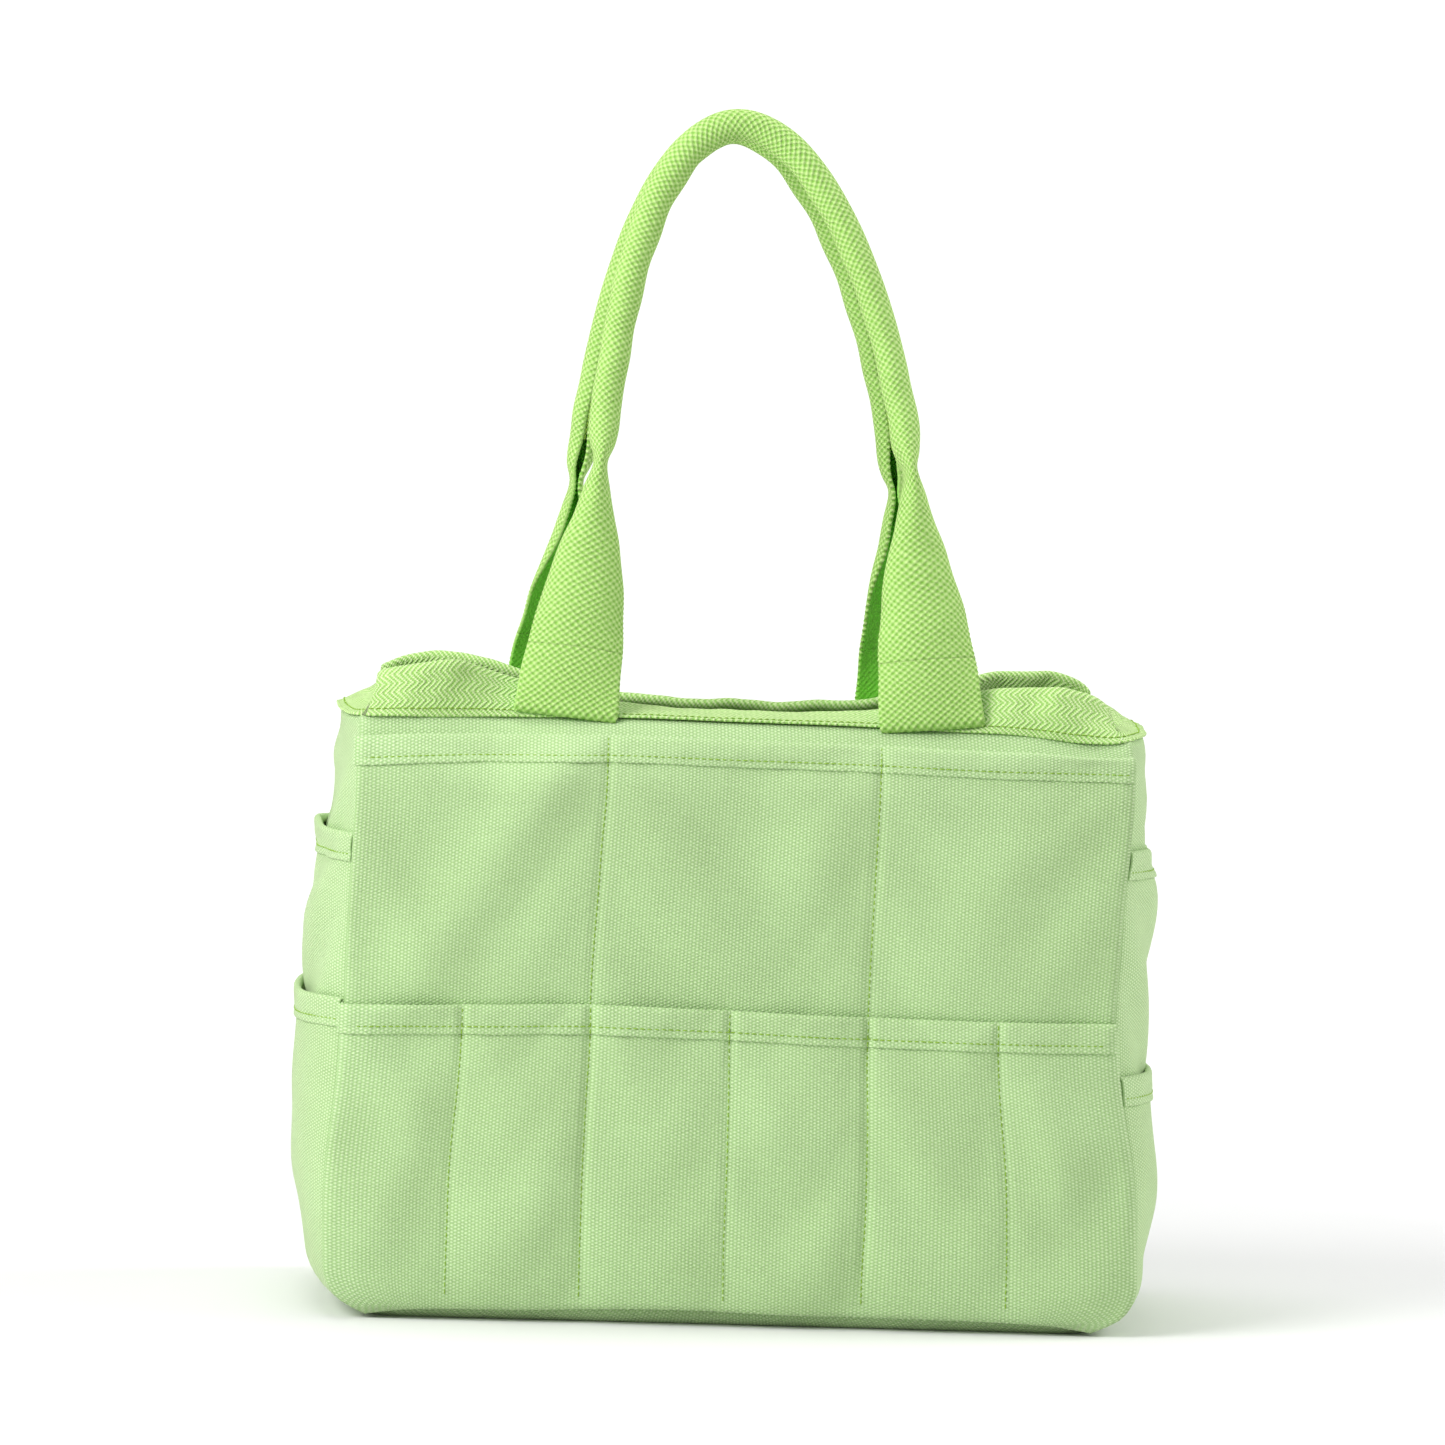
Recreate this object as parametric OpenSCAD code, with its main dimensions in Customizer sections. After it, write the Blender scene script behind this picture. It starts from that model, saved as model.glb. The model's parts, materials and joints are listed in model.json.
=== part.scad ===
// Garden tool bag: a canvas tote with outer pockets, a taped rim and two webbing handles.
// The origin is on the floor under the middle of the bag. The front faces -Y, and +Z is up.

/* [Body] */
// Width of the front panel near the base
base_width = 289; // [275:1:305]
// Width of the front panel from the waist up
waist_width = 278; // [266:1:290]
// Distance between the outer faces of the front and back panels
body_depth = 132; // [124:1:150]
// Height of the seam along the lower edge of the rim tape
seam_height = 218; // [212:1:240]
// Radius of the lower corners, seen from the front
corner_radius = 16; // [12:1:18]
// How far each gusset bulges out between the panels
gusset_bulge = 3.5; // [1:0.5:4]
// Thickness of the canvas of the body
canvas = 1.4; // [1:0.1:1.6]

/* [Rim] */
// Depth of the rim at its corners
rim_depth_corner = 110; // [100:1:116]
// Depth of the rim in the middle, where both panels lean in
rim_depth_middle = 88; // [84:1:96]
// Tilt of the rim tape from upright at the corners, in degrees
rim_tilt_corner = 6; // [0:1:12]
// Tilt of the rim tape from upright in the middle, in degrees
rim_tilt_middle = 65; // [50:1:70]
// Height of the rim tape on each side of the edge
tape_height = 19; // [16:1:22]
// Thickness of the rim tape
tape_thick = 1; // [0.8:0.1:1.2]

/* [Pockets] */
// Height of the front and back upper pockets
upper_hem = 209; // [200:1:211]
// Height of the front and back lower pockets
lower_hem = 112; // [100:1:130]
// Height of both upper side pockets
side_upper_hem = 174; // [150:1:180]
// Height of the lower pocket on the left
left_lower_hem = 114; // [90:1:130]
// Height of the lower pocket on the right
right_lower_hem = 93; // [80:1:130]
// Height of the folded hem along each pocket's top
hem_band = 10; // [8:1:12]
// Room between a pocket and the layer behind it
pocket_room = 4.8; // [4.5:0.1:5.5]
// Thickness of the pocket canvas
pocket_cloth = 1; // [0.8:0.1:1.2]
// Room inside each upper side pocket, and the reach of the lower one, from the waist's edge
side_pocket_reach = [8.6, 16.2]; // [8:0.1:18]

/* [Handles] */
// Width of the webbing
webbing_width = 38; // [34:1:40]
// Thickness of the webbing
webbing_thick = 1.5; // [1.2:0.1:1.8]
// Distance between the middles of a handle's two legs at the seam
leg_spacing = 133; // [125:1:140]
// Distance between the same legs at the neck, where the webbing is folded
neck_spacing = 111; // [105:1:116]
// Distance along a leg from the seam to its neck
neck_rise = 95; // [85:1:105]
// Distance along the handle's plane from the seam to the middle of the grip's arch
arch_rise = 220; // [205:1:235]
// Radius of the rolled grip at the middle of the webbing's thickness
grip_radius = 5.4; // [5:0.1:6]
// Height above the seam at which the flat webbing bends again
root_rise = 32; // [28:1:36]

/* [Hidden] */

canvas_green = [0.70, 0.91, 0.58];
lime_green = [0.55, 0.88, 0.36];
thread_green = [0.52, 0.78, 0.26];
cord_white = [0.93, 0.93, 0.88];

fit_gap = 0.3;            // clearance between neighbouring layers
half_depth = body_depth/2;
half_waist = waist_width/2;
half_base = base_width/2;
panel_bottom = 4.8;       // lower edge of the panels and gussets
pocket_bottom = 6;        // lower edge of the pockets
corner_centre = 19;       // height of the middle of the lower corners' arc
flare_start = 40;         // the panels are widest below this height
flare_end = 110;          // and as wide as the waist above this one
lean_start = seam_height - 30;   // the panels lean in above this height
lean_run = 62;            // width of the stretch over which the rim comes upright
puff_rise = 24;           // height over which a pocket opens from its lower edge
seam_pull = 5;            // width over which a row of stitches pulls a pocket in
side_steps = [-1, -0.9, -0.75, -0.55, -0.3, 0, 0.3, 0.55, 0.75, 0.9, 1];
pocket_row_heights = [pocket_bottom, 9, 14, 20, 30, 40, 60, 85];
tucked_in = 3;            // how far the canvas goes up into the folded tape
tape_gap = 0.35;          // clearance between the canvas and the folded tape
rim_thread_gap = 0.8;     // and between the tape and its stitches, over the twist of its faces
wall_heights = concat(
    [panel_bottom, 9, 14, 20, 30, 40, 60, 85, flare_end, lean_start],
    [for (k = [1:4]) mix(lean_start, seam_height, k/4)], [seam_height + tucked_in]);

// Lines of stitching that run down the front and back pockets, with the side seams
upper_lines = [-half_waist, -49, 49, half_waist];
lower_lines = [-half_waist, -96, -49, 0, 49, 96, half_waist];
columns = concat(
    [for (i = [0:len(lower_lines) - 2])
        let (a = lower_lines[i], b = lower_lines[i + 1])
        each [a, for (t = [0, 1/3, 2/3, 1]) mix(a + seam_pull, b - seam_pull, t)]],
    [half_waist]);

thread_size = 0.5;        // thickness of a row of stitches
thread_rise = 2.5;        // height of a row of stitches above a hem's or the tape's lower edge
thread_clear = thread_size/2 + 0.15;     // height of a thread's middle above the cloth

handle_depth = rim_depth_middle/2 + 3;   // distance of a handle's foot from the bag's middle
handle_foot = seam_height - 0.5;         // height of a handle's foot
arch_depth = grip_radius + webbing_thick/2 + 0.8;
handle_lean = asin((handle_depth - arch_depth)/arch_rise);
curl_flat = 1;            // half of the angle that the flat webbing curls through, in degrees
curl_neck = 138;          // the same at the neck
curl_grip = 177;          // and round the grip
neck_squeeze = 0.32;      // the folded neck's width as a share of the rolled grip's
neck_stretch = 1.45;      // and its depth
neck_length = 16;         // length over which the neck opens out to the grip
grip_share = 0.88;        // share of the webbing's width that goes round the grip
leg_steps = [0, 8, 16, 24, 32, 40, 48, 55];
arch_steps = 15;          // stations on each side of the arch
webbing_steps = 10;       // facets across the webbing
core_sides = 10;

// Curves and surfaces

function mix(a, b, t) = a + (b - a)*t;
function smooth(t) = let (c = min(max(t, 0), 1)) c*c*(3 - 2*c);

// Half the width of the front panel at height z
function half_width(z) =
    let (drop = min(max(corner_centre - z, 0)/corner_radius, 1))
    mix(half_base, half_waist, smooth((z - flare_start)/(flare_end - flare_start)))
        - corner_radius*(1 - sqrt(1 - drop*drop));

// 0 at the rim's corners and 1 where the panels lean in fully
function lean(x) = smooth((half_waist - abs(x))/lean_run);
function seam_depth(x) = mix(rim_depth_corner, rim_depth_middle, lean(x))/2;
function rim_tilt(x) = mix(rim_tilt_corner, rim_tilt_middle, lean(x));

// [depth, height] on a panel's outer face; above the seam, h goes on along the tilted rim.
// off moves the point out from the face.
function panel_face(x, h, off) =
    let (pull = half_depth - seam_depth(x),
         e = max(h - lean_start, 0)/(seam_height - lean_start),
         tilt = h < seam_height ? atan(2*pull*e/(seam_height - lean_start)) : rim_tilt(x),
         depth = h < seam_height
             ? half_depth - pull*e*e
             : seam_depth(x) - (h - seam_height)*sin(tilt),
         height = h < seam_height ? h : seam_height + (h - seam_height)*cos(tilt))
    [depth + off*cos(tilt), height + off*sin(tilt)];

function panel_point(column, h, off) =
    let (x = column*half_width(min(h, seam_height))/half_waist,
         p = panel_face(column, h, off))
    [x, -p[0], p[1]];

// How far open a pocket is at a column, between the lines of stitching: 0 on a line
function puff(column, lines) =
    let (away = min([for (line = lines) abs(column - line)]))
    min(away/seam_pull, 1) + 0.06*smooth((away - seam_pull)/19);

function open_up(z) = smooth((z - pocket_bottom)/puff_rise);

// Depth of the inner faces of the two pocket layers of the front
function upper_layer(column, z) =
    half_depth + fit_gap + pocket_room*puff(column, upper_lines)*open_up(z);
function lower_layer(column, z) =
    upper_layer(column, z) + pocket_cloth + fit_gap
        + pocket_room*puff(column, lower_lines)*open_up(z);

function front_layer(column, z, lower) =
    lower ? lower_layer(column, z) : upper_layer(column, z);

// Points of the right-hand gusset and of its pockets; u goes from -1 at the front to 1 at the back
function gusset_end(h) = panel_face(half_waist, h, -canvas - fit_gap);
function gusset_x(u, h) =
    let (z = min(h, seam_height))
    half_width(z) + gusset_bulge*(1 - u*u)*smooth((z - panel_bottom)/25);
function side_layer(u, z, lower) =
    let (edge = lower ? 2*fit_gap + pocket_cloth : fit_gap,
         over_waist = half_width(z) - half_waist,
         closed = gusset_bulge + fit_gap + (lower ? pocket_cloth + fit_gap : 0),
         reach = side_pocket_reach[lower ? 1 : 0] - over_waist,
         middle = mix(closed, max(reach, closed), open_up(z)))
    half_width(z) + edge + (middle - edge)*(1 - u^6);

// Solids

// A closed sheet between an outer and an inner grid of points. Seen from outside, the rows
// go up and each row's points go to the right.
module sheet(outer, inner) {
    rows = len(outer);
    cols = len(outer[0]);
    function o(r, c) = r*cols + c;
    function i(r, c) = (rows + r)*cols + c;
    function quad(a, b, c, d) = [[a, b, c], [a, c, d]];
    faces = concat(
        [for (r = [0:rows - 2], c = [0:cols - 2])
            each quad(o(r, c), o(r + 1, c), o(r + 1, c + 1), o(r, c + 1))],
        [for (r = [0:rows - 2], c = [0:cols - 2])
            each quad(i(r, c), i(r, c + 1), i(r + 1, c + 1), i(r + 1, c))],
        [for (c = [0:cols - 2])
            each quad(o(0, c), o(0, c + 1), i(0, c + 1), i(0, c))],
        [for (c = [0:cols - 2], r = rows - 1)
            each quad(o(r, c + 1), o(r, c), i(r, c), i(r, c + 1))],
        [for (r = [0:rows - 2])
            each quad(o(r + 1, 0), o(r, 0), i(r, 0), i(r + 1, 0))],
        [for (r = [0:rows - 2], c = cols - 1)
            each quad(o(r, c), o(r + 1, c), i(r + 1, c), i(r, c))]);
    polyhedron([for (row = concat(outer, inner)) each row], faces);
}

// A solid through equal polygons, each clockwise seen from the next; a loop joins its ends
module loft(sections, loop = false) {
    n = len(sections[0]);
    last = len(sections) - 1;
    function at(k, j) = (k % len(sections))*n + j % n;
    faces = concat(
        [for (k = [0:loop ? last : last - 1], j = [0:n - 1])
            each [[at(k, j), at(k + 1, j), at(k + 1, j + 1)],
                  [at(k, j), at(k + 1, j + 1), at(k, j + 1)]]],
        loop ? [] : [for (j = [1:n - 2]) [at(0, 0), at(0, j), at(0, j + 1)]],
        loop ? [] : [for (j = [1:n - 2]) [at(last, 0), at(last, j + 1), at(last, j)]]);
    polyhedron([for (s = sections) each s], faces);
}

// Body

module panel() {
    function face(off) = [for (h = wall_heights) [for (c = columns) panel_point(c, h, off)]];
    sheet(face(0), face(-canvas));
}

module gusset() {
    function face(off) = [for (h = wall_heights) [for (u = side_steps)
        let (end = gusset_end(h)) [gusset_x(u, h) + off, u*end[0], end[1]]]];
    sheet(face(0), face(-canvas));
}

module base() {
    half_x = half_width(panel_bottom) + 0.6;
    half_y = half_depth + 5;
    wall = 4;
    difference() {
        linear_extrude(panel_bottom - fit_gap) rounded_outline(half_x, half_y, 12);
        translate([0, 0, canvas])
            linear_extrude(panel_bottom) rounded_outline(half_x - wall, half_y - wall, 12 - wall);
    }
}

module rounded_outline(half_x, half_y, radius) {
    for (sx = [-1, 1], sy = [-1, 1])
        translate([sx*(half_x - radius), sy*(half_y - radius)]) circle(radius, $fn = 48);
    square([2*(half_x - radius), 2*half_y], center = true);
    square([2*half_x, 2*(half_y - radius)], center = true);
}

// Pockets

// Heights of a pocket sheet's rows with the extra thickness of its hem at each
function pocket_rows(top) = concat(
    [for (z = pocket_row_heights) if (z < top - hem_band - 4) [z, 0]],
    top > flare_end + hem_band ? [[flare_end, 0]] : [],
    [[top - hem_band, 0], [top - hem_band + 0.4, pocket_cloth], [top, pocket_cloth]]);

module front_pocket(top, lower) {
    function face(off, hem) = [for (row = pocket_rows(top)) [for (c = columns)
        [c*half_width(row[0])/half_waist, -front_layer(c, row[0], lower) - off - hem*row[1], row[0]]]];
    sheet(face(pocket_cloth, 1), face(0, 0));
}

module side_pocket(top, lower) {
    half = half_depth - canvas - fit_gap;
    function face(off, hem) = [for (row = pocket_rows(top)) [for (u = side_steps)
        [side_layer(u, row[0], lower) + off + hem*row[1], u*half, row[0]]]];
    sheet(face(pocket_cloth, 1), face(0, 0));
}

// Rows of stitches

// A thin solid along points; out and across are unit steps square to its run
module thread_row(points, out, across) {
    r = thread_size/2;
    loft([for (p = points) [p + r*out, p + r*across, p - r*out, p - r*across]]);
}

module hem_thread(top, lower) {
    z = top - hem_band + thread_rise;
    thread_row([for (c = columns)
        [c*half_width(z)/half_waist, -front_layer(c, z, lower) - 2*pocket_cloth - thread_clear, z]],
        [0, -1, 0], [0, 0, 1]);
}

// A row of stitches down one line of a front pocket layer
module line_thread(line, top, bottom, lower) {
    end = top - hem_band - 1;
    heights = concat([bottom], [for (z = pocket_row_heights) if (z > bottom && z < end) z], [end]);
    thread_row([for (z = heights)
        [line*half_width(z)/half_waist, -front_layer(line, z, lower) - pocket_cloth - 2*thread_clear, z]],
        [0, -1, 0], [-1, 0, 0]);
}

module front_threads() {
    hem_thread(upper_hem, false);
    hem_thread(lower_hem, true);
    for (line = [for (k = [1:len(upper_lines) - 2]) upper_lines[k]])
        line_thread(line, upper_hem, lower_hem + 4, false);
    for (line = [for (k = [1:len(lower_lines) - 2]) lower_lines[k]])
        line_thread(line, lower_hem, pocket_bottom + 3, true);
}

module side_hem_thread(top, lower) {
    z = top - hem_band + thread_rise;
    half = half_depth - canvas - fit_gap;
    thread_row([for (u = side_steps)
        [side_layer(u, z, lower) + 2*pocket_cloth + thread_clear, u*half, z]], [1, 0, 0], [0, 0, 1]);
}

// Rim

// Stations round the rim: [x, y at the seam, x and y steps outwards, tilt from upright]
rim_columns = [for (c = columns) if (abs(c) < half_waist) c];
rim_half = [for (c = rim_columns) [c, -seam_depth(c), 0, -1, rim_tilt(c)]];
rim_side = [for (u = side_steps) if (abs(u) < 1)
    [gusset_x(u, seam_height), u*seam_depth(half_waist), 1, 0, 0]];
rim_corner = [half_waist, -seam_depth(half_waist), 1, -1, rim_tilt_corner];

function turned(s) = [-s[0], -s[1], -s[2], -s[3], s[4]];
function flipped(s) = [s[0], -s[1], s[2], -s[3], s[4]];
half_stations = concat([turned(flipped(rim_corner))], rim_half, [rim_corner], rim_side);
rim_stations = concat(half_stations, [for (s = half_stations) turned(s)]);

// A point near the rim: out from the outer face, and up along the tilted cloth
function rim_point(s, out, up) =
    let (upright = s[2] != 0 && s[3] != 0,
         tilt_y = s[3] == 0 ? 0 : s[4],
         tilt_x = s[3] == 0 ? s[4] : 0)
    [s[0] + s[2]*(out*cos(tilt_x) - up*sin(tilt_x)),
     s[1] + s[3]*(out*cos(tilt_y) - up*sin(tilt_y)),
     seam_height + (s[3] == 0 ? up*cos(tilt_x) + out*sin(tilt_x) : up*cos(tilt_y) + out*sin(tilt_y))];

module rim_loop() {
    outer = tape_gap + tape_thick;
    inner = -canvas - outer;
    fold = tape_height - tape_thick;
    section = [
        [tape_gap, 0], [outer, 0], [outer, tape_height],
        [inner, tape_height], [inner, 0], [inner + tape_thick, 0],
        [inner + tape_thick, fold], [tape_gap, fold]];
    loft([for (s = rim_stations) [for (p = section) rim_point(s, p[0], p[1])]], loop = true);
}

module rim_stitches() {
    near = tape_gap + tape_thick + rim_thread_gap;
    far = near + thread_size;
    section = [
        [near, thread_rise], [far, thread_rise],
        [far, thread_rise + thread_size], [near, thread_rise + thread_size]];
    loft([for (s = rim_stations) [for (p = section) rim_point(s, p[0], p[1])]], loop = true);
}

// A folded strip that covers the raw edges inside one corner seam
module corner_binding() {
    heights = [12, 20, 30, 40, 60, 85, flare_end, 150, lean_start, lean_start + 15, lean_start + 24];
    reach = 5;
    thick = 0.6;
    function ring(z) =
        let (x = half_width(z) - canvas - 1.4, y = panel_face(half_waist, z, -canvas)[0] - 1.4)
        [[x - thick, y + thick, z], [x + thick, y - thick, z],
         [x + thick - reach, y - thick - reach, z], [x - thick - reach, y + thick - reach, z]];
    loft([for (z = heights) ring(z)]);
}

module base_ring() {
    half_x = half_width(panel_bottom) - 4.2;
    half_y = half_depth - canvas - 0.5;
    translate([0, 0, canvas + fit_gap]) linear_extrude(7) difference() {
        rounded_outline(half_x, half_y, 9);
        rounded_outline(half_x - 1.6, half_y - 1.6, 7.4);
    }
}

// Handles

// The line of one side of a handle, as [distance from the middle, rise along the handle's plane]
function bezier(p, t) =
    (1 - t)^3*p[0] + 3*(1 - t)^2*t*p[1] + 3*(1 - t)*t^2*p[2] + t^3*p[3];
neck_x = neck_spacing/2;
arch_curve = [
    [neck_x, neck_rise], [neck_x - 9, neck_rise + 75],
    [24, arch_rise], [0, arch_rise]];
leg_line = [for (q = concat(leg_steps, [62, 69, 76, 83, 89]))
    if (q < neck_rise - 3) [mix(leg_spacing/2, neck_x, q/neck_rise), q]];
side_line = concat(leg_line, [for (k = [0:arch_steps]) bezier(arch_curve, k/arch_steps)]);

// From the left foot over the arch to the right foot, with the distance from the nearer neck
function whole_line(side) = concat(
    [for (p = side) [-p[0], p[1]]],
    [for (k = [len(side) - 2:-1:0]) side[k]]);

// Curl of the webbing at a rise q along a leg: [half angle, width, squeeze, stretch, shift]
function webbing_shape(q) =
    let (leg = smooth((q - root_rise)/(neck_rise - root_rise)),
         pinch = q < neck_rise
             ? smooth((q - root_rise - 12)/(neck_rise - root_rise - 12))
             : 1 - smooth((q - neck_rise)/neck_length),
         grip = smooth((q - neck_rise)/neck_length),
         half_angle = q < neck_rise ? mix(curl_flat, curl_neck, leg) : mix(curl_neck, curl_grip, grip))
    [half_angle, webbing_width*mix(1, grip_share, leg), mix(1, neck_squeeze, pinch),
     mix(1, neck_stretch, pinch), mix(0, grip_radius, leg)];

// A point of the webbing at one station; f goes from -1 to 1 across it
function webbing_point(line, k, f, off) =
    let (p = line[k],
         a = line[max(k - 1, 0)], b = line[min(k + 1, len(line) - 1)],
         along = (b - a)/norm(b - a),
         shape = webbing_shape(p[1]),
         r = shape[1]/2/(shape[0]*PI/180),
         angle = f*shape[0],
         sx = shape[2], sy = shape[3],
         n = [sy*sin(angle), sx*cos(angle)]/norm([sy*sin(angle), sx*cos(angle)]),
         across = sx*r*sin(angle) + off*n[0],
         out = sy*(r*cos(angle) - r) + shape[4]*sy + off*n[1])
    handle_frame([p[0] + across*along[1], p[1] - across*along[0], out]);

// From the handle's own plane to the bag: [x, rise, out from the plane]
function handle_frame(p) =
    [p[0],
     -handle_depth + p[1]*sin(handle_lean) - p[2]*cos(handle_lean),
     handle_foot + p[1]*cos(handle_lean) + p[2]*sin(handle_lean)];

module webbing(line) {
    function face(off) = [for (k = [0:len(line) - 1]) [for (j = [0:webbing_steps])
        webbing_point(line, k, 2*j/webbing_steps - 1, off)]];
    sheet(face(webbing_thick/2), face(-webbing_thick/2));
}

// The flat foot of one leg, between the seam and the bend above the pocket hem
module strap_root(side) {
    foot = side*leg_spacing/2;
    run = [side*(neck_x - leg_spacing/2), neck_rise];
    across = [run[1], -run[0]]*webbing_width/2/norm(run);
    // The foot's edge is level, and the edge at the bend is square to the leg
    function face(off) = [for (t = [0, 0.5, 1]) [for (f = [-1, 1])
        handle_frame([
            foot + run[0]*t*root_rise/neck_rise + f*mix(webbing_width/2, across[0], t),
            t*root_rise + f*across[1]*t, off])]];
    sheet(face(webbing_thick/2), face(-webbing_thick/2));
}

module strap_roots() {
    strap_root(-1);
    strap_root(1);
}

module handle_strap() {
    start = root_rise + fit_gap;
    foot = [[mix(leg_spacing/2, neck_x, start/neck_rise), start]];
    webbing(whole_line(concat(foot, [for (p = side_line) if (p[1] > start + 2) p])));
}

grip_line = whole_line([for (p = side_line) if (p[1] > neck_rise + neck_length - 3) p]);

// A rod along the grip, moved out from the grip's middle line
module grip_rod(radius, sides, out) {
    loft([for (k = [0:len(grip_line) - 1])
        let (a = grip_line[max(k - 1, 0)], b = grip_line[min(k + 1, len(grip_line) - 1)],
             along = (b - a)/norm(b - a), p = grip_line[k])
        [for (j = [0:sides - 1])
            let (w = radius*cos(j*360/sides), o = out + radius*sin(j*360/sides))
            handle_frame([p[0] + w*along[1], p[1] - w*along[0], o])]]);
}

module handle_core() {
    grip_rod(grip_radius - webbing_thick/2 - fit_gap, core_sides, 0);
}

module handle_stitches() {
    grip_rod(0.25, 4, -grip_radius - webbing_thick/2 - 0.35);
}

// Sub-parts

module front_panel() { color(canvas_green) panel(); }
module back_panel() { color(canvas_green) rotate(180) panel(); }
module right_gusset() { color(canvas_green) gusset(); }
module left_gusset() { color(canvas_green) rotate(180) gusset(); }
module base_panel() { color(canvas_green) base(); }
module front_upper_pockets() { color(canvas_green) front_pocket(upper_hem, false); }
module front_lower_pockets() { color(canvas_green) front_pocket(lower_hem, true); }
module back_upper_pockets() { color(canvas_green) rotate(180) front_pocket(upper_hem, false); }
module back_lower_pockets() { color(canvas_green) rotate(180) front_pocket(lower_hem, true); }
module left_upper_pocket() { color(canvas_green) rotate(180) side_pocket(side_upper_hem, false); }
module left_lower_pocket() { color(canvas_green) rotate(180) side_pocket(left_lower_hem, true); }
module right_upper_pocket() { color(canvas_green) side_pocket(side_upper_hem, false); }
module right_lower_pocket() { color(canvas_green) side_pocket(right_lower_hem, true); }
module rim_tape() { color(lime_green) rim_loop(); }
module front_left_binding() { color(lime_green) rotate(180) corner_binding(); }
module front_right_binding() { color(lime_green) mirror([0, 1, 0]) corner_binding(); }
module back_left_binding() { color(lime_green) mirror([1, 0, 0]) corner_binding(); }
module back_right_binding() { color(lime_green) corner_binding(); }
module base_binding() { color(lime_green) base_ring(); }
module front_pocket_thread() { color(thread_green) front_threads(); }
module back_pocket_thread() { color(thread_green) rotate(180) front_threads(); }
module left_pocket_thread() {
    color(thread_green) rotate(180) {
        side_hem_thread(side_upper_hem, false);
        side_hem_thread(left_lower_hem, true);
    }
}
module right_pocket_thread() {
    color(thread_green) {
        side_hem_thread(side_upper_hem, false);
        side_hem_thread(right_lower_hem, true);
    }
}
module rim_thread() { color(thread_green) rim_stitches(); }
module front_strap_roots() { color(lime_green) strap_roots(); }
module front_handle_strap() { color(lime_green) handle_strap(); }
module front_handle_core() { color(cord_white) handle_core(); }
module front_handle_thread() { color(thread_green) handle_stitches(); }
module back_strap_roots() { color(lime_green) rotate(180) strap_roots(); }
module back_handle_strap() { color(lime_green) rotate(180) handle_strap(); }
module back_handle_core() { color(cord_white) rotate(180) handle_core(); }
module back_handle_thread() { color(thread_green) rotate(180) handle_stitches(); }

front_panel();
back_panel();
left_gusset();
right_gusset();
base_panel();
front_upper_pockets();
front_lower_pockets();
back_upper_pockets();
back_lower_pockets();
left_upper_pocket();
left_lower_pocket();
right_upper_pocket();
right_lower_pocket();
rim_tape();
front_left_binding();
front_right_binding();
back_left_binding();
back_right_binding();
base_binding();
front_pocket_thread();
back_pocket_thread();
left_pocket_thread();
right_pocket_thread();
rim_thread();
front_strap_roots();
front_handle_strap();
front_handle_core();
front_handle_thread();
back_strap_roots();
back_handle_strap();
back_handle_core();
back_handle_thread();
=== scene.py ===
"""The looks of the canvas garden tool bag, built round its CAD frame.

Lengths are in millimetres until a mesh is made, and then in metres. The bag's front faces -Y.
"""

import json
import math

import bmesh
import bpy
import numpy as np
from mathutils import Matrix, Vector


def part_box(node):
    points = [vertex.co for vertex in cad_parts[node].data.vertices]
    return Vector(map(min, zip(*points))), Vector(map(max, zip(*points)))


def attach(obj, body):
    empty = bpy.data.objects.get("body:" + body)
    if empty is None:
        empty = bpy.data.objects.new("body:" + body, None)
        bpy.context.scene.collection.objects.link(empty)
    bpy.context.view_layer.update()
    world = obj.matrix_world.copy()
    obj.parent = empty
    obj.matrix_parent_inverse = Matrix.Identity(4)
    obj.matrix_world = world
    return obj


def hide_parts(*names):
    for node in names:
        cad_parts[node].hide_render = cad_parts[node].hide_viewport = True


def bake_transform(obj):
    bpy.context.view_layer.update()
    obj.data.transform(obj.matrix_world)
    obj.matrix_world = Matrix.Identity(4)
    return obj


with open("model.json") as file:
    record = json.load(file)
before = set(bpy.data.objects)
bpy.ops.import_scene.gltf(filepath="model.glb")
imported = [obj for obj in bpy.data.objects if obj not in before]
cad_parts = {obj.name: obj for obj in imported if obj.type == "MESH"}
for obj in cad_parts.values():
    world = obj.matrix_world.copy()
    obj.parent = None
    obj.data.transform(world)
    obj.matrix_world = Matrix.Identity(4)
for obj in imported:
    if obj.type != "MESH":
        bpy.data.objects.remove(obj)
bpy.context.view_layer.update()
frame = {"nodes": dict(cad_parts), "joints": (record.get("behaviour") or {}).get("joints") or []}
rng = np.random.default_rng(7)  # for the stitches, of which no two are quite alike

# ---------------------------------------------------------------- sizes, from the frame


def box(node):
    low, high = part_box(node)
    return np.array(low) * 1000, np.array(high) * 1000


def vertices(node):
    mesh = frame["nodes"][node].data
    co = np.zeros(len(mesh.vertices) * 3)
    mesh.vertices.foreach_get("co", co)
    return co.reshape(-1, 3) * 1000


def joint_point(name):
    joint = next(j for j in frame["joints"] if j["name"] == name)
    return np.array(joint["pos_m"]) * 1000


panel_co = vertices("front_panel")
HALF_BASE = panel_co[:, 0].max()
HALF_WAIST = panel_co[panel_co[:, 2] > 150, 0].max()
HALF_DEPTH = -panel_co[:, 1].min()
PANEL_BOTTOM = panel_co[:, 2].min()
SEAM = box("rim_tape")[0][2]
UPPER_HEM, LOWER_HEM = (box(f"front_{layer}_pockets")[1][2] for layer in ("upper", "lower"))
POCKET_BOTTOM = box("front_upper_pockets")[0][2]
CLOTH_BOTTOM = 1.5  # lowest middle line of the cloth, at the bag's corners
SIDE_HEMS = {side: {layer: box(f"{side}_{layer}_pocket")[1][2] for layer in ("upper", "lower")}
             for side in ("left", "right")}  # heights of the side pockets
FOOT = joint_point("front_root_hinge")  # foot of the front handle, on its hinge
BEND = joint_point("front_handle_bend")
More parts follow.
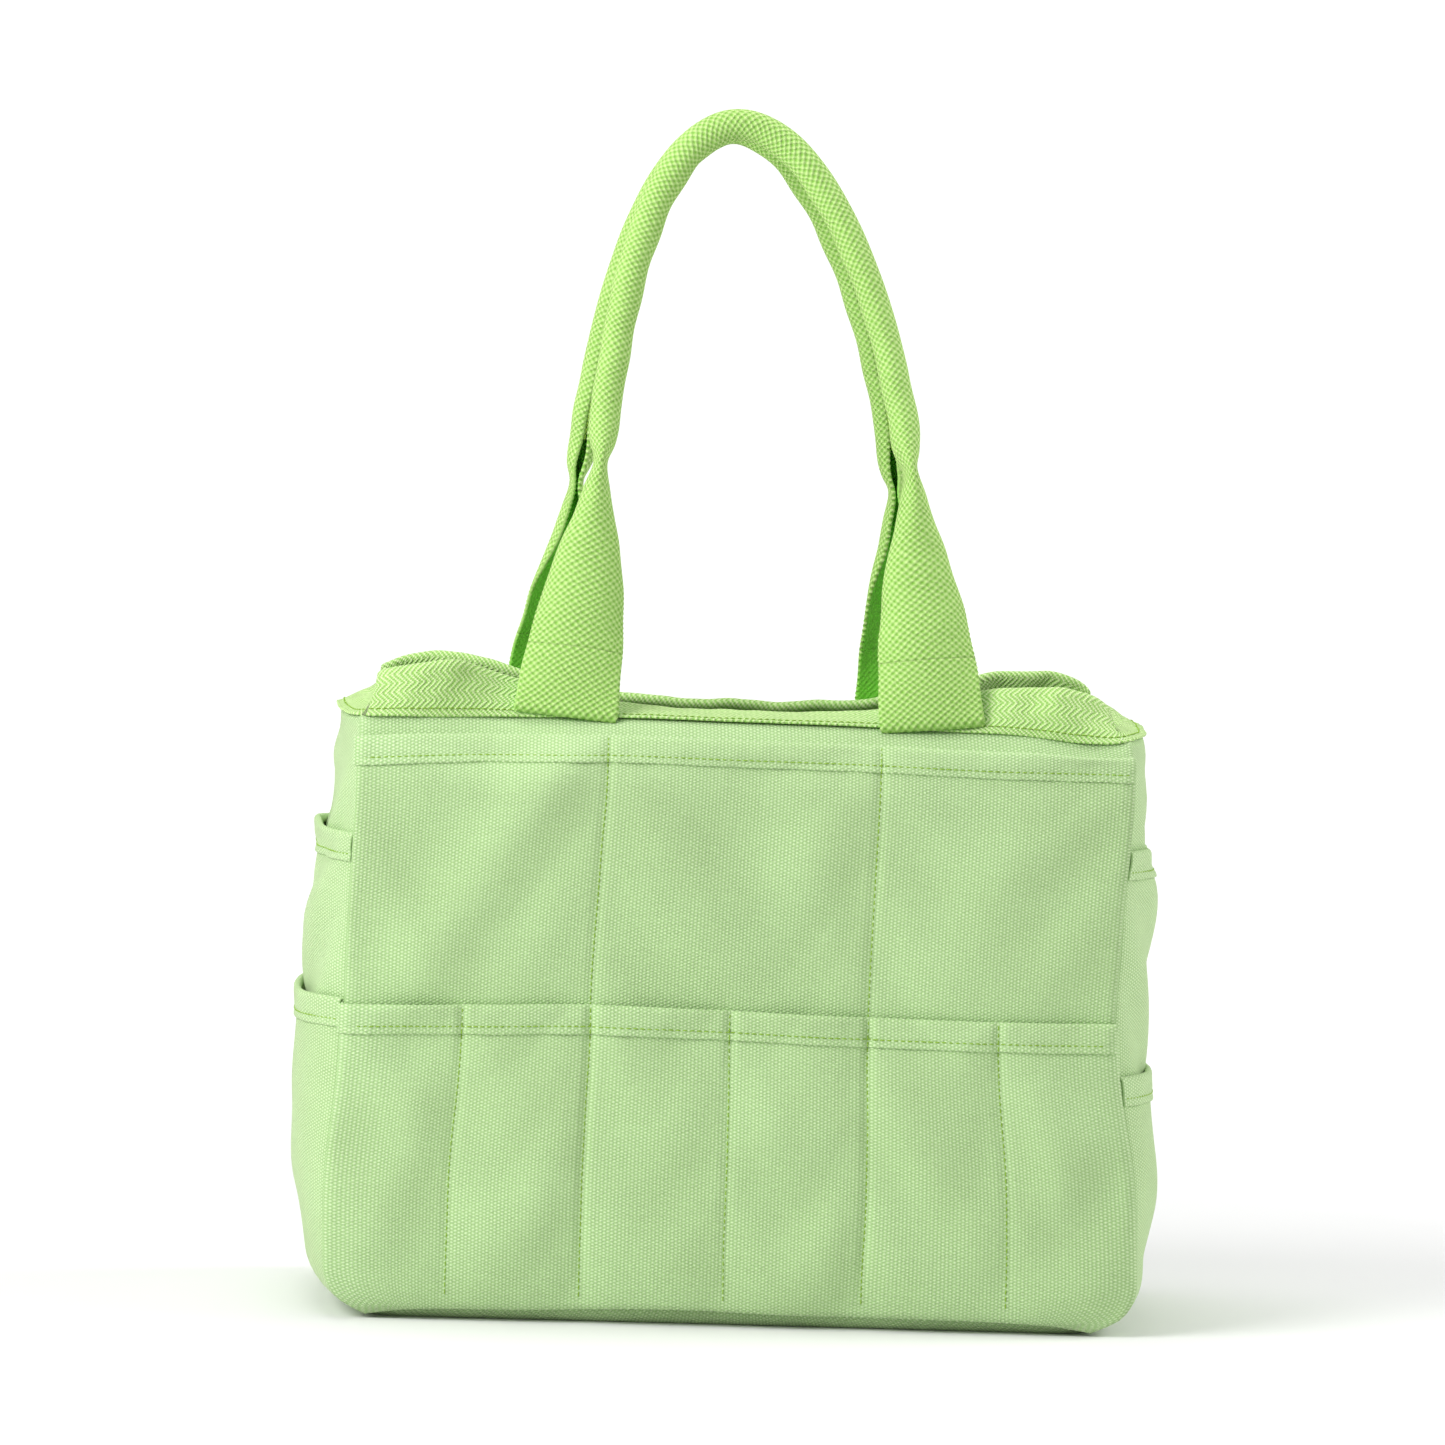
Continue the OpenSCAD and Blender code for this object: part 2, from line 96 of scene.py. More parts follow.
HANDLE_DEPTH, HANDLE_FOOT = -FOOT[1], FOOT[2]
LEAN = math.atan2(BEND[1] - FOOT[1], BEND[2] - FOOT[2])
GRIP_OUT = 6.15  # outer radius of the rolled grip, whose middle line rises to ARCH_RISE
ARCH_RISE = (box("front_handle_strap")[1][2] - GRIP_OUT - HANDLE_FOOT) / math.cos(LEAN) - 3.0

# Thicknesses of the cloth
CANVAS, POCKET_CLOTH, HEM_CLOTH, TAPE_CLOTH, BINDING_CLOTH = 1.4, 1.0, 0.75, 0.9, 0.55
GAP = 0.3  # between layers that are sewn together
HEM_BAND = 10.0
TAPE_HEIGHT = 19.0
CORNER = 16.0  # radius of the panels' bottom corners
RIM_CORNER, RIM_MIDDLE = 55.0, 44.0  # depth of the rim at its corners and between the handles
WEB_WIDTH, WEB_THICK = 37.0, 1.5
LEG_X, NECK_X, NECK_RISE = 66.5, 55.5, 95.0  # a handle's legs at the foot and at the neck
PITCH, STITCH_LENGTH, STITCH_RADIUS = 2.45, 1.95, 0.3
# The rows of pockets on the front and the back: their tops, and the lines that sew them down
FACE_POCKETS = {"upper": (UPPER_HEM, (-HALF_WAIST, -49, 49, HALF_WAIST)),
                "lower": (LOWER_HEM, (-HALF_WAIST, -96, -49, 0, 49, 96, HALF_WAIST))}

# ---------------------------------------------------------------- curves and fields


def mix(a, b, t):
    return a + (b - a) * t


def smooth(t):
    t = np.clip(t, 0, 1)
    return t * t * (3 - 2 * t)


def bell(t):
    return np.exp(-t * t)


def table(z, heights, values):
    """A smooth curve through a few values."""
    z = np.asarray(z, float)
    i = np.clip(np.searchsorted(heights, z) - 1, 0, len(heights) - 2)
    h, v = np.asarray(heights, float), np.asarray(values, float)
    t = np.clip((z - h[i]) / (h[i + 1] - h[i]), 0, 1)
    slope = np.gradient(v, h)
    w = h[i + 1] - h[i]
    t2, t3 = t * t, t * t * t
    return (v[i] * (2 * t3 - 3 * t2 + 1) + slope[i] * w * (t3 - 2 * t2 + t)
            + v[i + 1] * (3 * t2 - 2 * t3) + slope[i + 1] * w * (t3 - t2))


def ripple(a, b, seed, wave, along=0.0, spread=math.pi):
    """Soft waves of about the given length, between -1 and 1; along turns their crests."""
    r = np.random.default_rng(seed)
    total, count = 0, 7
    for _ in range(count):
        angle = along + r.uniform(-spread, spread) / 2
        k = 2 * math.pi / (wave * r.uniform(0.7, 1.6))
        phase = r.uniform(0, 2 * math.pi)
        total = total + np.sin(k * (a * math.cos(angle) + b * math.sin(angle)) + phase)
    return total / (0.62 * count)


def taper(z):
    """Half the width of the front, which narrows from the base to the waist."""
    return mix(HALF_BASE, HALF_WAIST, smooth((z - 40) / 70))


def corner_inset(z):
    drop = np.clip((CORNER + 3 - z) / CORNER, 0, 1)
    return CORNER * (1 - np.sqrt(1 - drop * drop))


def half_width(z):
    return taper(z) - corner_inset(z)


def lean_in(x):
    """0 at the bag's corners and 1 along the middle of its front and back."""
    return smooth((HALF_WAIST - np.abs(x)) / 69)


def seam_depth(x):
    return mix(RIM_CORNER, RIM_MIDDLE, lean_in(x))


# Lean of the rim tape from upright, by the distance from the bag's middle, in degrees: the
# corners are folded in, the tape stands up beside them, and it lies down between the handles
TILT = ((0, 40, 60, 76, 90, 101, 112, 124, 132, 139), (76, 72, 62, 48, 32, 16, 8, 22, 42, 60))


def rim_tilt(x):
    return np.radians(table(np.abs(x), *TILT))


LEAN_BAND = 30  # height below the seam over which the panels lean in


def panel_face(x, h, off):
    """Depth and height of a point on a panel; above the seam h goes on along the tilted rim."""
    pull = HALF_DEPTH - seam_depth(x)
    e = np.clip(1 + (h - SEAM) / LEAN_BAND, 0, 1)
    tilt = np.where(h < SEAM, np.arctan(2 * pull * e / LEAN_BAND), rim_tilt(x))
    over = np.maximum(h - SEAM, 0)
    depth = HALF_DEPTH - pull * e * e - over * np.sin(tilt)
    height = np.minimum(h, SEAM) + over * np.cos(tilt)
    return depth + off * np.cos(tilt), height + off * np.sin(tilt)


def puff(c, lines):
    """0 on a row of stitches and 1 between them."""
    c = np.asarray(c, float)
    away = np.min([np.abs(c - line) for line in lines], 0)
    return 0.5 * (1 - bell(away / 1.9)) + 0.5 * (1 - bell(away / 15))


# How far the gussets and their pockets stand out from the waist's edge, at some heights
GUSSET_AT = (0, 30, 80, 114, 155, 178, 196, 208, 218)
BULGE = {
    "left": {
        "gusset": (GUSSET_AT, (1.5, 4.5, 8, 10.6, 12.2, 12.4, 11.4, 8, 8.5)),
        "upper": ((0, 30, 80, 114, 135, 155, 174), (3.2, 8, 13.6, 17.2, 17.2, 15.2, 13.4)),
        "lower": ((0, 10, 30, 80, 114), (4.6, 8, 11.6, 18.4, 20.4)),
    },
    "right": {
        "gusset": (GUSSET_AT, (1.5, 3.5, 6.5, 8.4, 10.6, 11, 10.6, 9.6, 9.0)),
        "upper": ((0, 30, 80, 100, 120, 155, 174), (3.2, 6.8, 14.6, 16.8, 17.8, 15.6, 13.0)),
        "lower": ((0, 10, 30, 60, 93), (4.6, 6.8, 10.6, 15.8, 18.4)),
    },
}
# A side layer's offset at its upright edges, and how squarely it bulges between them
EDGE = {"gusset": (0.0, 3.0), "upper": (1.3, 3.2), "lower": (2.5, 3.6)}


def side_reach(side, layer, u, z):
    """Distance of a side layer's middle surface from the gusset's middle plane; u is -1 to 1."""
    out = table(z, *BULGE[side][layer])
    edge, power = EDGE[layer]
    return half_width(z) - 0.7 + edge + (out - edge) * (1 - np.abs(u) ** power)


def fold(x, z, x0, z0, x1, z1, width):
    """A soft ridge along a line, that fades at both ends."""
    length = math.hypot(x1 - x0, z1 - z0)
    ux, uz = (x1 - x0) / length, (z1 - z0) / length
    t = ((x - x0) * ux + (z - z0) * uz) / length
    d = ((x - x0) * uz - (z - z0) * ux) / width
    return (bell(d) - 0.55 * bell((d - 1.9) / 1.2)) * smooth(t / 0.3 + 0.35) * smooth((1.25 - t) / 0.4)


# Folds of the front: size, the ends of the line (x0, z0, x1, z1), and width
FOLDS = ((3.0, -54, 208, -122, 112, 13), (2.0, 112, 196, 84, 128, 16), (1.6, 22, 204, 34, 128, 15),
         (1.3, -16, 150, 30, 96, 15), (1.2, -130, 26, -112, 82, 9), (1.2, 126, 22, 112, 90, 9))


def front_waves(x, z):
    """How far the front's folds and dents stand out."""
    w = 1.7 * ripple(x, z, 3, 150) + 0.9 * ripple(x, z, 4, 62, along=0.5, spread=2.0)
    for size, *line in FOLDS:
        w = w + size * fold(x, z, *line)
    w = w - 1.4 * bell((z - 118) / 30) + 1.0 * bell((z - 45) / 30)
    return w * smooth(z / 26)


def back_waves(x, z):
    w = 1.5 * ripple(x, z, 13, 150) + 0.6 * ripple(x, z, 14, 62, along=2.4, spread=2.0)
    w = w + 1.8 * fold(x, z, 70, 206, 112, 112, 14) - 1.0 * bell((z - 118) / 30)
    return w * smooth(z / 26)


def side_waves(y, z, seed):
    return (1.5 * ripple(y, z, seed, 75, along=1.3, spread=1.6)
            + 0.7 * ripple(y, z, seed + 1, 34, along=1.2, spread=1.8)) * smooth(z / 30)


# Settling of the front, sideways and upwards, at some heights and places across it
SETTLE_AT = (-139, -96, -49, 0, 49, 96, 139)
LEAN_X = {
    0: (3.4, -0.4, -1.4, -0.8, -2.2, 0.8, 1.2),
    112: (1.6, -0.7, -2.2, -1.2, -1.0, -1.6, -3.4),
    209: (3.0, 2.2, 1.4, 1.2, 0.9, 1.0, 1.0),
}
HEM_RISE = {
    0: (0, 0, 0, 0, 0, 0, 0),
    112: (-0.2, 1.0, 2.2, 1.4, 0.4, 0.2, 0.4),
    209: (-1.8, 1.4, 3.0, 2.6, 2.2, 1.0, 0.2),
}


def settled(levels, x, z):
    """A smooth surface through the rows of LEAN_X or HEM_RISE."""
    heights = sorted(levels)
    at = [table(x, SETTLE_AT, levels[h]) for h in heights]
    t = np.clip(z, 0, heights[-1])
    low = mix(at[0], at[1], smooth(t / heights[1]))
    high = mix(at[1], at[2], smooth((t - heights[1]) / (heights[2] - heights[1])))
    return np.where(t < heights[1], low, high)


def lifted(across, z, rise):
    """Lifts the lowest rows of a sheet: its bottom edge arches up between the corners."""
    edge = rise * (1 - np.abs(across) ** 4) * (1 + 0.15 * ripple(across * 140, 0 * z, 95, 90))
    return z + edge * np.clip(1 - z / 40, 0, 1)


ROLL_IN = 2.2  # how far the cloth turns in under the bag's front and back edges


def settle(p):
    """Moves points of the resting bag the way real cloth sags, the same for every layer."""
    x, y, z = p[..., 0], p[..., 1], p[..., 2]
    fade = 1 - smooth((z - 250) / 60)
    depth = np.clip(y / HALF_DEPTH, -1.15, 1.15)
    across = np.clip(x / HALF_WAIST, -1.15, 1.15)
    near_face = smooth((np.abs(depth) - 0.1) / 0.8)
    near_side = smooth((np.abs(across) - 0.5) / 0.5)
    face = np.where(y < 0, front_waves(x, z), back_waves(x, z))
    side = np.where(x < 0, side_waves(y, z, 21), side_waves(y, z, 31))
    middle = 1 - depth * depth / 1.4
    sag = 2.4 * smooth((z - 185) / 35) * lean_in(x) * (1.1 - 0.7 * smooth((y + 20) / 60))
    sag = sag + 3.6 * bell((x - 128) / 20) * smooth((z - 203) / 12) * smooth((20 - y) / 40)
    roll = ROLL_IN * np.clip(1 - z / 8, 0, 1) ** 2
    return np.stack([
        x + fade * (settled(LEAN_X, x, z) + np.sign(x) * near_side * middle * side),
        y + fade * np.sign(y) * (near_face * face * (1 - 0.35 * near_side)
                                 - roll * smooth((np.abs(depth) - 0.85) / 0.12)),
        z + fade * (settled(HEM_RISE, x, z) * near_face - sag),
    ], -1)


# ---------------------------------------------------------------- meshes


def make(name, points, faces, uv, inner=None, flat=None):
    """A mesh object from points in millimetres, quads, and each point's place on the cloth."""
    mesh = bpy.data.meshes.new(name)
    mesh.vertices.add(len(points))
    mesh.vertices.foreach_set("co", (points * 0.001).astype(np.float32).ravel())
    mesh.loops.add(faces.size)
    mesh.loops.foreach_set("vertex_index", faces.ravel().astype(np.int32))
    mesh.polygons.add(len(faces))
    mesh.polygons.foreach_set("loop_start", np.arange(0, faces.size, 4, dtype=np.int32))
    smooth_faces = np.ones(len(faces), bool) if flat is None else ~flat
    mesh.polygons.foreach_set("use_smooth", smooth_faces)
    layer = mesh.uv_layers.new(name="cloth")
    layer.data.foreach_set("uv", uv[faces.ravel()].astype(np.float32).ravel())
    # The inner face is marked, so that a material can paint shade on it, as the webbing's does
    if inner is not None:
        mesh.attributes.new("inner", "FLOAT", "POINT").data.foreach_set(
            "value", inner.astype(np.float32))
    mesh.update(calc_edges=True)
    mesh.validate()
    thing = bpy.data.objects.new(name, mesh)
    bpy.context.scene.collection.objects.link(thing)
    return thing


def slopes(p, axis, wrap=False):
    if wrap:
        return np.roll(p, -1, axis) - np.roll(p, 1, axis)
    return np.gradient(p, axis=axis)


def unit(v):
    return v / np.maximum(np.linalg.norm(v, axis=-1, keepdims=True), 1e-9)


def lengths(line):
    """Distance along a line to each of its points."""
    return np.concatenate([[0], np.cumsum(np.linalg.norm(np.diff(line, axis=0), axis=1))])


def between(at, places, rows):
    """Rows of numbers, each belonging to a place, read at other places."""
    return np.stack([np.interp(at, places, column) for column in rows.T], -1)


def grid(a, b):
    """Points of a grid, from what changes along its rows and what changes up its columns."""
    return np.stack(np.broadcast_arrays(a[None], b[:, None]), -1)


def shell(name, p, thick, uv, wrap=False, cut=False, finish=None):
    """A sheet with two faces and rounded edges. finish moves its points at the end.
    wrap joins the last column to the first; cut leaves the first and last rows' edges square."""
    rows, cols = p.shape[:2]
    # The grid's rows go up and its columns go to the right, seen from outside
    normal = unit(np.cross(slopes(p, 1, wrap), slopes(p, 0)))
    count, half = rows * cols, thick / 2
    outer, inner = (p + normal * half).reshape(-1, 3), (p - normal * half).reshape(-1, 3)
    idx = np.arange(count).reshape(rows, cols)
    right = np.roll(idx, -1, 1) if wrap else idx[:, 1:]
    left = idx if wrap else idx[:, :-1]
    a, b, c, d = left[:-1], right[:-1], right[1:], left[1:]
    quads = [np.stack([a, b, c, d], -1).reshape(-1, 4),
             np.stack([a, d, c, b], -1).reshape(-1, 4) + count]
    if wrap:
        edges = [idx[0], idx[-1][::-1]]
    else:
        edges = [np.concatenate([idx[0, :], idx[1:, -1], idx[-1, -2::-1], idx[-2:0:-1, 0]])]
    flat_p, flat_uv = p.reshape(-1, 3), uv.reshape(-1, 2)
    points, places = [outer, inner], [flat_uv, flat_uv]
    flat = [np.zeros(2 * len(quads[0]), bool)]
    base = 2 * count
    for edge in edges:
        row, col = edge // cols, edge % cols
        within = idx[np.clip(row, 1, rows - 2), col if wrap else np.clip(col, 1, cols - 2)]
        out = unit(flat_p[edge] - flat_p[within]) * 0.35 * thick
        ends = (row == 0) | (row == rows - 1)
        if cut:
            out[ends] = 0
        points.append((outer[edge] + inner[edge]) / 2 + out)
        places.append(flat_uv[edge])
        mid = base + np.arange(len(edge))
        next_edge, next_mid = np.roll(edge, -1), np.roll(mid, -1)
        quads.append(np.stack([next_edge, edge, mid, next_mid], -1))
        quads.append(np.stack([next_mid, mid, edge + count, next_edge + count], -1))
        square = cut & ends & np.roll(ends, -1) & (row == np.roll(row, -1))
        flat += [square, square]
        base += len(edge)
    points = np.concatenate(points)
    if finish:
        points = finish(points)
    is_inner = np.zeros(len(points))
    is_inner[count:2 * count] = 1
    return make(name, points, np.concatenate(quads), np.concatenate(places), is_inner,
                np.concatenate(flat))


STRANDS, TWIST = 3, 0.19  # of the filler cord; it turns by TWIST radians to a mm


def filler_cord(name, line, radius):
    """A cord of twisted strands along a line, tapered at both ends."""
    sides = 16
    along = unit(slopes(line, 0))
    ref = np.where(np.abs(along[:, 1:2]) < 0.8, [[0.0, 1.0, 0.0]], [[1.0, 0.0, 0.0]])
    e1 = unit(np.cross(along, ref))
    e2 = np.cross(along, e1)
    s = lengths(line)
    angle = np.linspace(0, 2 * math.pi, sides, endpoint=False)
    swell = 1 - 0.16 * np.abs(np.sin(0.5 * STRANDS * (angle[None] - s[:, None] * TWIST)))
    r = (radius * smooth(np.minimum(s, s[-1] - s) / 2.5 + 0.15))[:, None] * swell
    p = (line[:, None] + (r * np.cos(angle))[..., None] * e1[:, None]
         + (r * np.sin(angle))[..., None] * e2[:, None])
    p = np.concatenate([line[:1, None].repeat(sides, 1), p, line[-1:, None].repeat(sides, 1)])
    idx = np.arange(len(p) * sides).reshape(-1, sides)
    nxt = np.roll(idx, -1, 1)
    quads = np.stack([idx[:-1], idx[1:], nxt[1:], nxt[:-1]], -1).reshape(-1, 4)
    run = np.concatenate([[0], s, s[-1:]])
    place = grid(angle * np.mean(radius), run)
    return weld(make(name, settle(p.reshape(-1, 3)), quads, place.reshape(-1, 2)))


def weld(thing):
    """Joins points that lie in the same place, as at a cord's ends."""
    b = bmesh.new()
    b.from_mesh(thing.data)
    bmesh.ops.remove_doubles(b, verts=b.verts, dist=1e-6)
    b.to_mesh(thing.data)
    b.free()
    return thing


def resampled(line, pitch):
    """Points every pitch along a line, and how far along its index each lies."""
    s = lengths(line)
    count = max(2, int(s[-1] / pitch))
    at = (np.arange(count) + 0.5) * s[-1] / count
    return between(at, s, line), np.interp(at, s, np.arange(len(line)))


# A stitch: where along its half length its rings of points lie, and the size of a ring at each
# of its points, which is smaller on one side
RING_AT = np.array([-1, -0.72, -0.3, 0.3, 0.72, 1.0])
RING_SIZE = np.array([0.3, 0.85, 1, 1, 0.85, 0.3])


def stitches(name, lines, finish):
    """Rows of stitches; each line is (points, outward directions)."""
    sides, rings = len(RING_SIZE), len(RING_AT)
    angle = np.arange(sides) * 2 * math.pi / sides
    ring = STITCH_RADIUS * RING_SIZE[:, None] * np.stack([np.cos(angle), np.sin(angle)], -1)
    idx = np.arange(rings * sides).reshape(rings, sides)
    nxt = np.roll(idx, -1, 1)
    one = np.concatenate([
        np.stack([idx[:-1], nxt[:-1], nxt[1:], idx[1:]], -1).reshape(-1, 4),
        [[3, 2, 1, 0], [5, 4, 3, 0]],
        idx[-1][[[0, 1, 2, 3], [0, 3, 4, 5]]]])
    place = grid(angle * STITCH_RADIUS, RING_AT * STITCH_LENGTH / 2)
    points = []
    for line, out in lines:
        centre, k = resampled(line, PITCH)
        along = unit(slopes(centre, 0))
        out = between(k, np.arange(len(line)), np.broadcast_to(out, line.shape))
        out = unit(out - (out * along).sum(-1, keepdims=True) * along)
        across = np.cross(along, out)
        turn = rng.normal(0, 0.05, (len(centre), 1))
        along, across = unit(along + across * turn), unit(across - along * turn)
        half = STITCH_LENGTH / 2 * (1 + rng.normal(0, 0.05, (len(centre), 1)))
        lift = STITCH_RADIUS * (0.55 - 1.5 * RING_AT ** 2)
        p = (centre[:, None] + along[:, None] * (half * RING_AT)[..., None]
             + out[:, None] * lift[None, :, None])
        p = (p[:, :, None] + across[:, None, None] * ring[:, 0:1]
             + out[:, None, None] * ring[:, 1:2])
        points.append(p.reshape(-1, 3))
    points = np.concatenate(points)
    starts = np.arange(0, len(points), rings * sides)
    quads = (one[None] + starts[:, None, None]).reshape(-1, 4)
    uv = np.broadcast_to(place, (len(starts), rings, sides, 2)).reshape(-1, 2)
    return make(name, finish(points), quads, uv)


# ---------------------------------------------------------------- cloth simulation


CELL, FRAMES = 4.5, 22  # the simulated sheets' mesh in mm, and how many frames they run


def relaxed(name, width, height, lines, slack, seed, limit=3.0):
    """How far a slack sheet, sewn down along its sides, its bottom and some lines, stands out.
    The answer is a grid over the sheet, from the bottom left, in millimetres."""
    cols, rows = int(width / CELL) + 1, int(height / CELL) + 1
    xs, zs = np.linspace(-width / 2, width / 2, cols), np.linspace(0, height, rows)
    away = np.min([np.abs(xs - line) for line in lines], 0)
    x, z = np.meshgrid(xs, zs)
    start = 1.2 * smooth(np.broadcast_to(away, x.shape) / 12) * smooth(z / 15) * (
        1 + 0.7 * ripple(x, z, seed, 55))
    idx = np.arange(rows * cols).reshape(rows, cols)
    quads = np.stack([idx[:-1, :-1], idx[:-1, 1:], idx[1:, 1:], idx[1:, :-1]], -1).reshape(-1, 4)
    sheet = make(name, np.stack([x, -start, z], -1).reshape(-1, 3), quads,
                 np.stack([x, z], -1).reshape(-1, 2))
    group = sheet.vertex_groups.new(name="sewn")
    sewn = (np.broadcast_to(away < CELL * 0.6, x.shape) | (z < 1)).ravel()
    group.add([int(i) for i in np.flatnonzero(sewn)], 1.0, "REPLACE")
    cloth = sheet.modifiers.new("cloth", "CLOTH")
    s = cloth.settings
    s.quality, s.mass, s.air_damping = 6, 0.3, 6
    s.tension_stiffness = s.compression_stiffness = 40
    s.shear_stiffness, s.bending_stiffness = 20, 4
    s.tension_damping = s.compression_damping = s.shear_damping = 12
    s.bending_damping = 2
    s.vertex_group_mass = "sewn"
    s.shrink_min = -slack
    cloth.collision_settings.use_collision = False
    cloth.point_cache.frame_start, cloth.point_cache.frame_end = 1, FRAMES
    scene = bpy.context.scene
    for f in range(1, FRAMES + 1):
        scene.frame_set(f)
    done = sheet.evaluated_get(bpy.context.evaluated_depsgraph_get())
    co = np.zeros(rows * cols * 3)
    done.data.vertices.foreach_get("co", co)
    bpy.data.objects.remove(sheet)
    scene.frame_set(1)
    out = -co.reshape(rows, cols, 3)[..., 1] * 1000
    out = limit * np.tanh(out / limit)
    for _ in range(2):
        out[1:-1, 1:-1] = 0.5 * out[1:-1, 1:-1] + 0.125 * (
            out[:-2, 1:-1] + out[2:, 1:-1] + out[1:-1, :-2] + out[1:-1, 2:])
    return xs, zs, out


def look_up(relief, x, z):
    """A simulated sheet's relief at places on the sheet."""
    xs, zs, grid = relief
    i = np.clip((np.asarray(x, float) - xs[0]) / (xs[1] - xs[0]), 0, len(xs) - 1.001)
    j = np.clip((np.asarray(z, float) - zs[0]) / (zs[1] - zs[0]), 0, len(zs) - 1.001)
    i0, j0 = i.astype(int), j.astype(int)
    a, b = i - i0, j - j0
    return ((grid[j0, i0] * (1 - a) + grid[j0, i0 + 1] * a) * (1 - b)
            + (grid[j0 + 1, i0] * (1 - a) + grid[j0 + 1, i0 + 1] * a) * b)


# ---------------------------------------------------------------- materials


class Nodes:
    """The node tree of a new material or world, with arithmetic on its sockets."""

    def __init__(self, name, kind=bpy.data.materials):
        self.owner = kind.new(name)
        self.owner.use_nodes = True
        self.tree = self.owner.node_tree
        self.tree.nodes.clear()

    def add(self, kind, inputs=(), **settings):
        node = self.tree.nodes.new(kind)
        for key, value in settings.items():
            setattr(node, key, value)
        for key, value in dict(inputs).items():
            if isinstance(value, bpy.types.NodeSocket):
                self.tree.links.new(value, node.inputs[key])
            else:
                node.inputs[key].default_value = value
        return node

    def math(self, operation, a, b=0.0, c=0.0):
        return self.add("ShaderNodeMath", {0: a, 1: b, 2: c}, operation=operation).outputs[0]

    def noise(self, vector, scale, detail=2.0, roughness=0.5):
        return self.add("ShaderNodeTexNoise", {
            "Vector": vector, "Scale": scale, "Detail": detail, "Roughness": roughness,
        }).outputs["Fac"]

    def wave(self, value, period):
        return self.math("COSINE", self.math("MULTIPLY", value, 2 * math.pi / period))

    def blend(self, factor, a, b, mode="MIX"):
        node = self.add("ShaderNodeMix", data_type="RGBA", blend_type=mode)
        for socket, value in ((node.inputs[0], factor), (node.inputs[6], a), (node.inputs[7], b)):
            if isinstance(value, bpy.types.NodeSocket):
                self.tree.links.new(value, socket)
            else:
                socket.default_value = value
        return node.outputs[2]


def linear(rgb):
    """A colour given as it shows on a screen, from 0 to 255, as linear light."""
    c = np.array(rgb, float) / 255
    c = np.where(c <= 0.04045, c / 12.92, ((c + 0.055) / 1.055) ** 2.4)
    return (*[float(x) for x in c], 1.0)


def plain_weave(n, u, v, place, across, along):
    """Staggered grains, as where a yarn passes over and under the others."""
    jitter = n.math("MULTIPLY_ADD", n.noise(place, 0.42, 1), 0.9, -0.45)
    drift = n.math("MULTIPLY_ADD", n.noise(place, 0.06, 1), 2.0, -1.0)
    u2 = n.math("ADD", u, n.math("MULTIPLY", jitter, across * 0.22))
    v2 = n.math("ADD", v, n.math("MULTIPLY", n.math("ADD", jitter, drift), along * 0.4))
    h = n.math("MULTIPLY", n.wave(u2, across), n.wave(v2, along))
    return n.math("MULTIPLY_ADD", h, 0.5, 0.5)


def herringbone(n, u, v, place):
    """Ribs that slant one way and then the other across the tape."""
    zigzag = n.math("PINGPONG", n.math("ADD", v, 1.1), 3.4)
    jitter = n.math("SUBTRACT", n.noise(place, 0.3, 1), 0.5)
    slant = n.math("ADD", zigzag, n.math("ADD", u, jitter))
    rib = n.wave(slant, 2.1)
    grain = n.wave(n.math("SUBTRACT", u, zigzag), 1.3)
    return n.math("MULTIPLY_ADD", n.math("MULTIPLY_ADD", grain, 0.35, rib), 0.36, 0.5)


def twisted(n, u, v, place):
    """Fibres that run aslant, as in thread and cord."""
    return n.math("MULTIPLY_ADD", n.wave(n.math("ADD", u, v), 0.7), 0.5, 0.5)


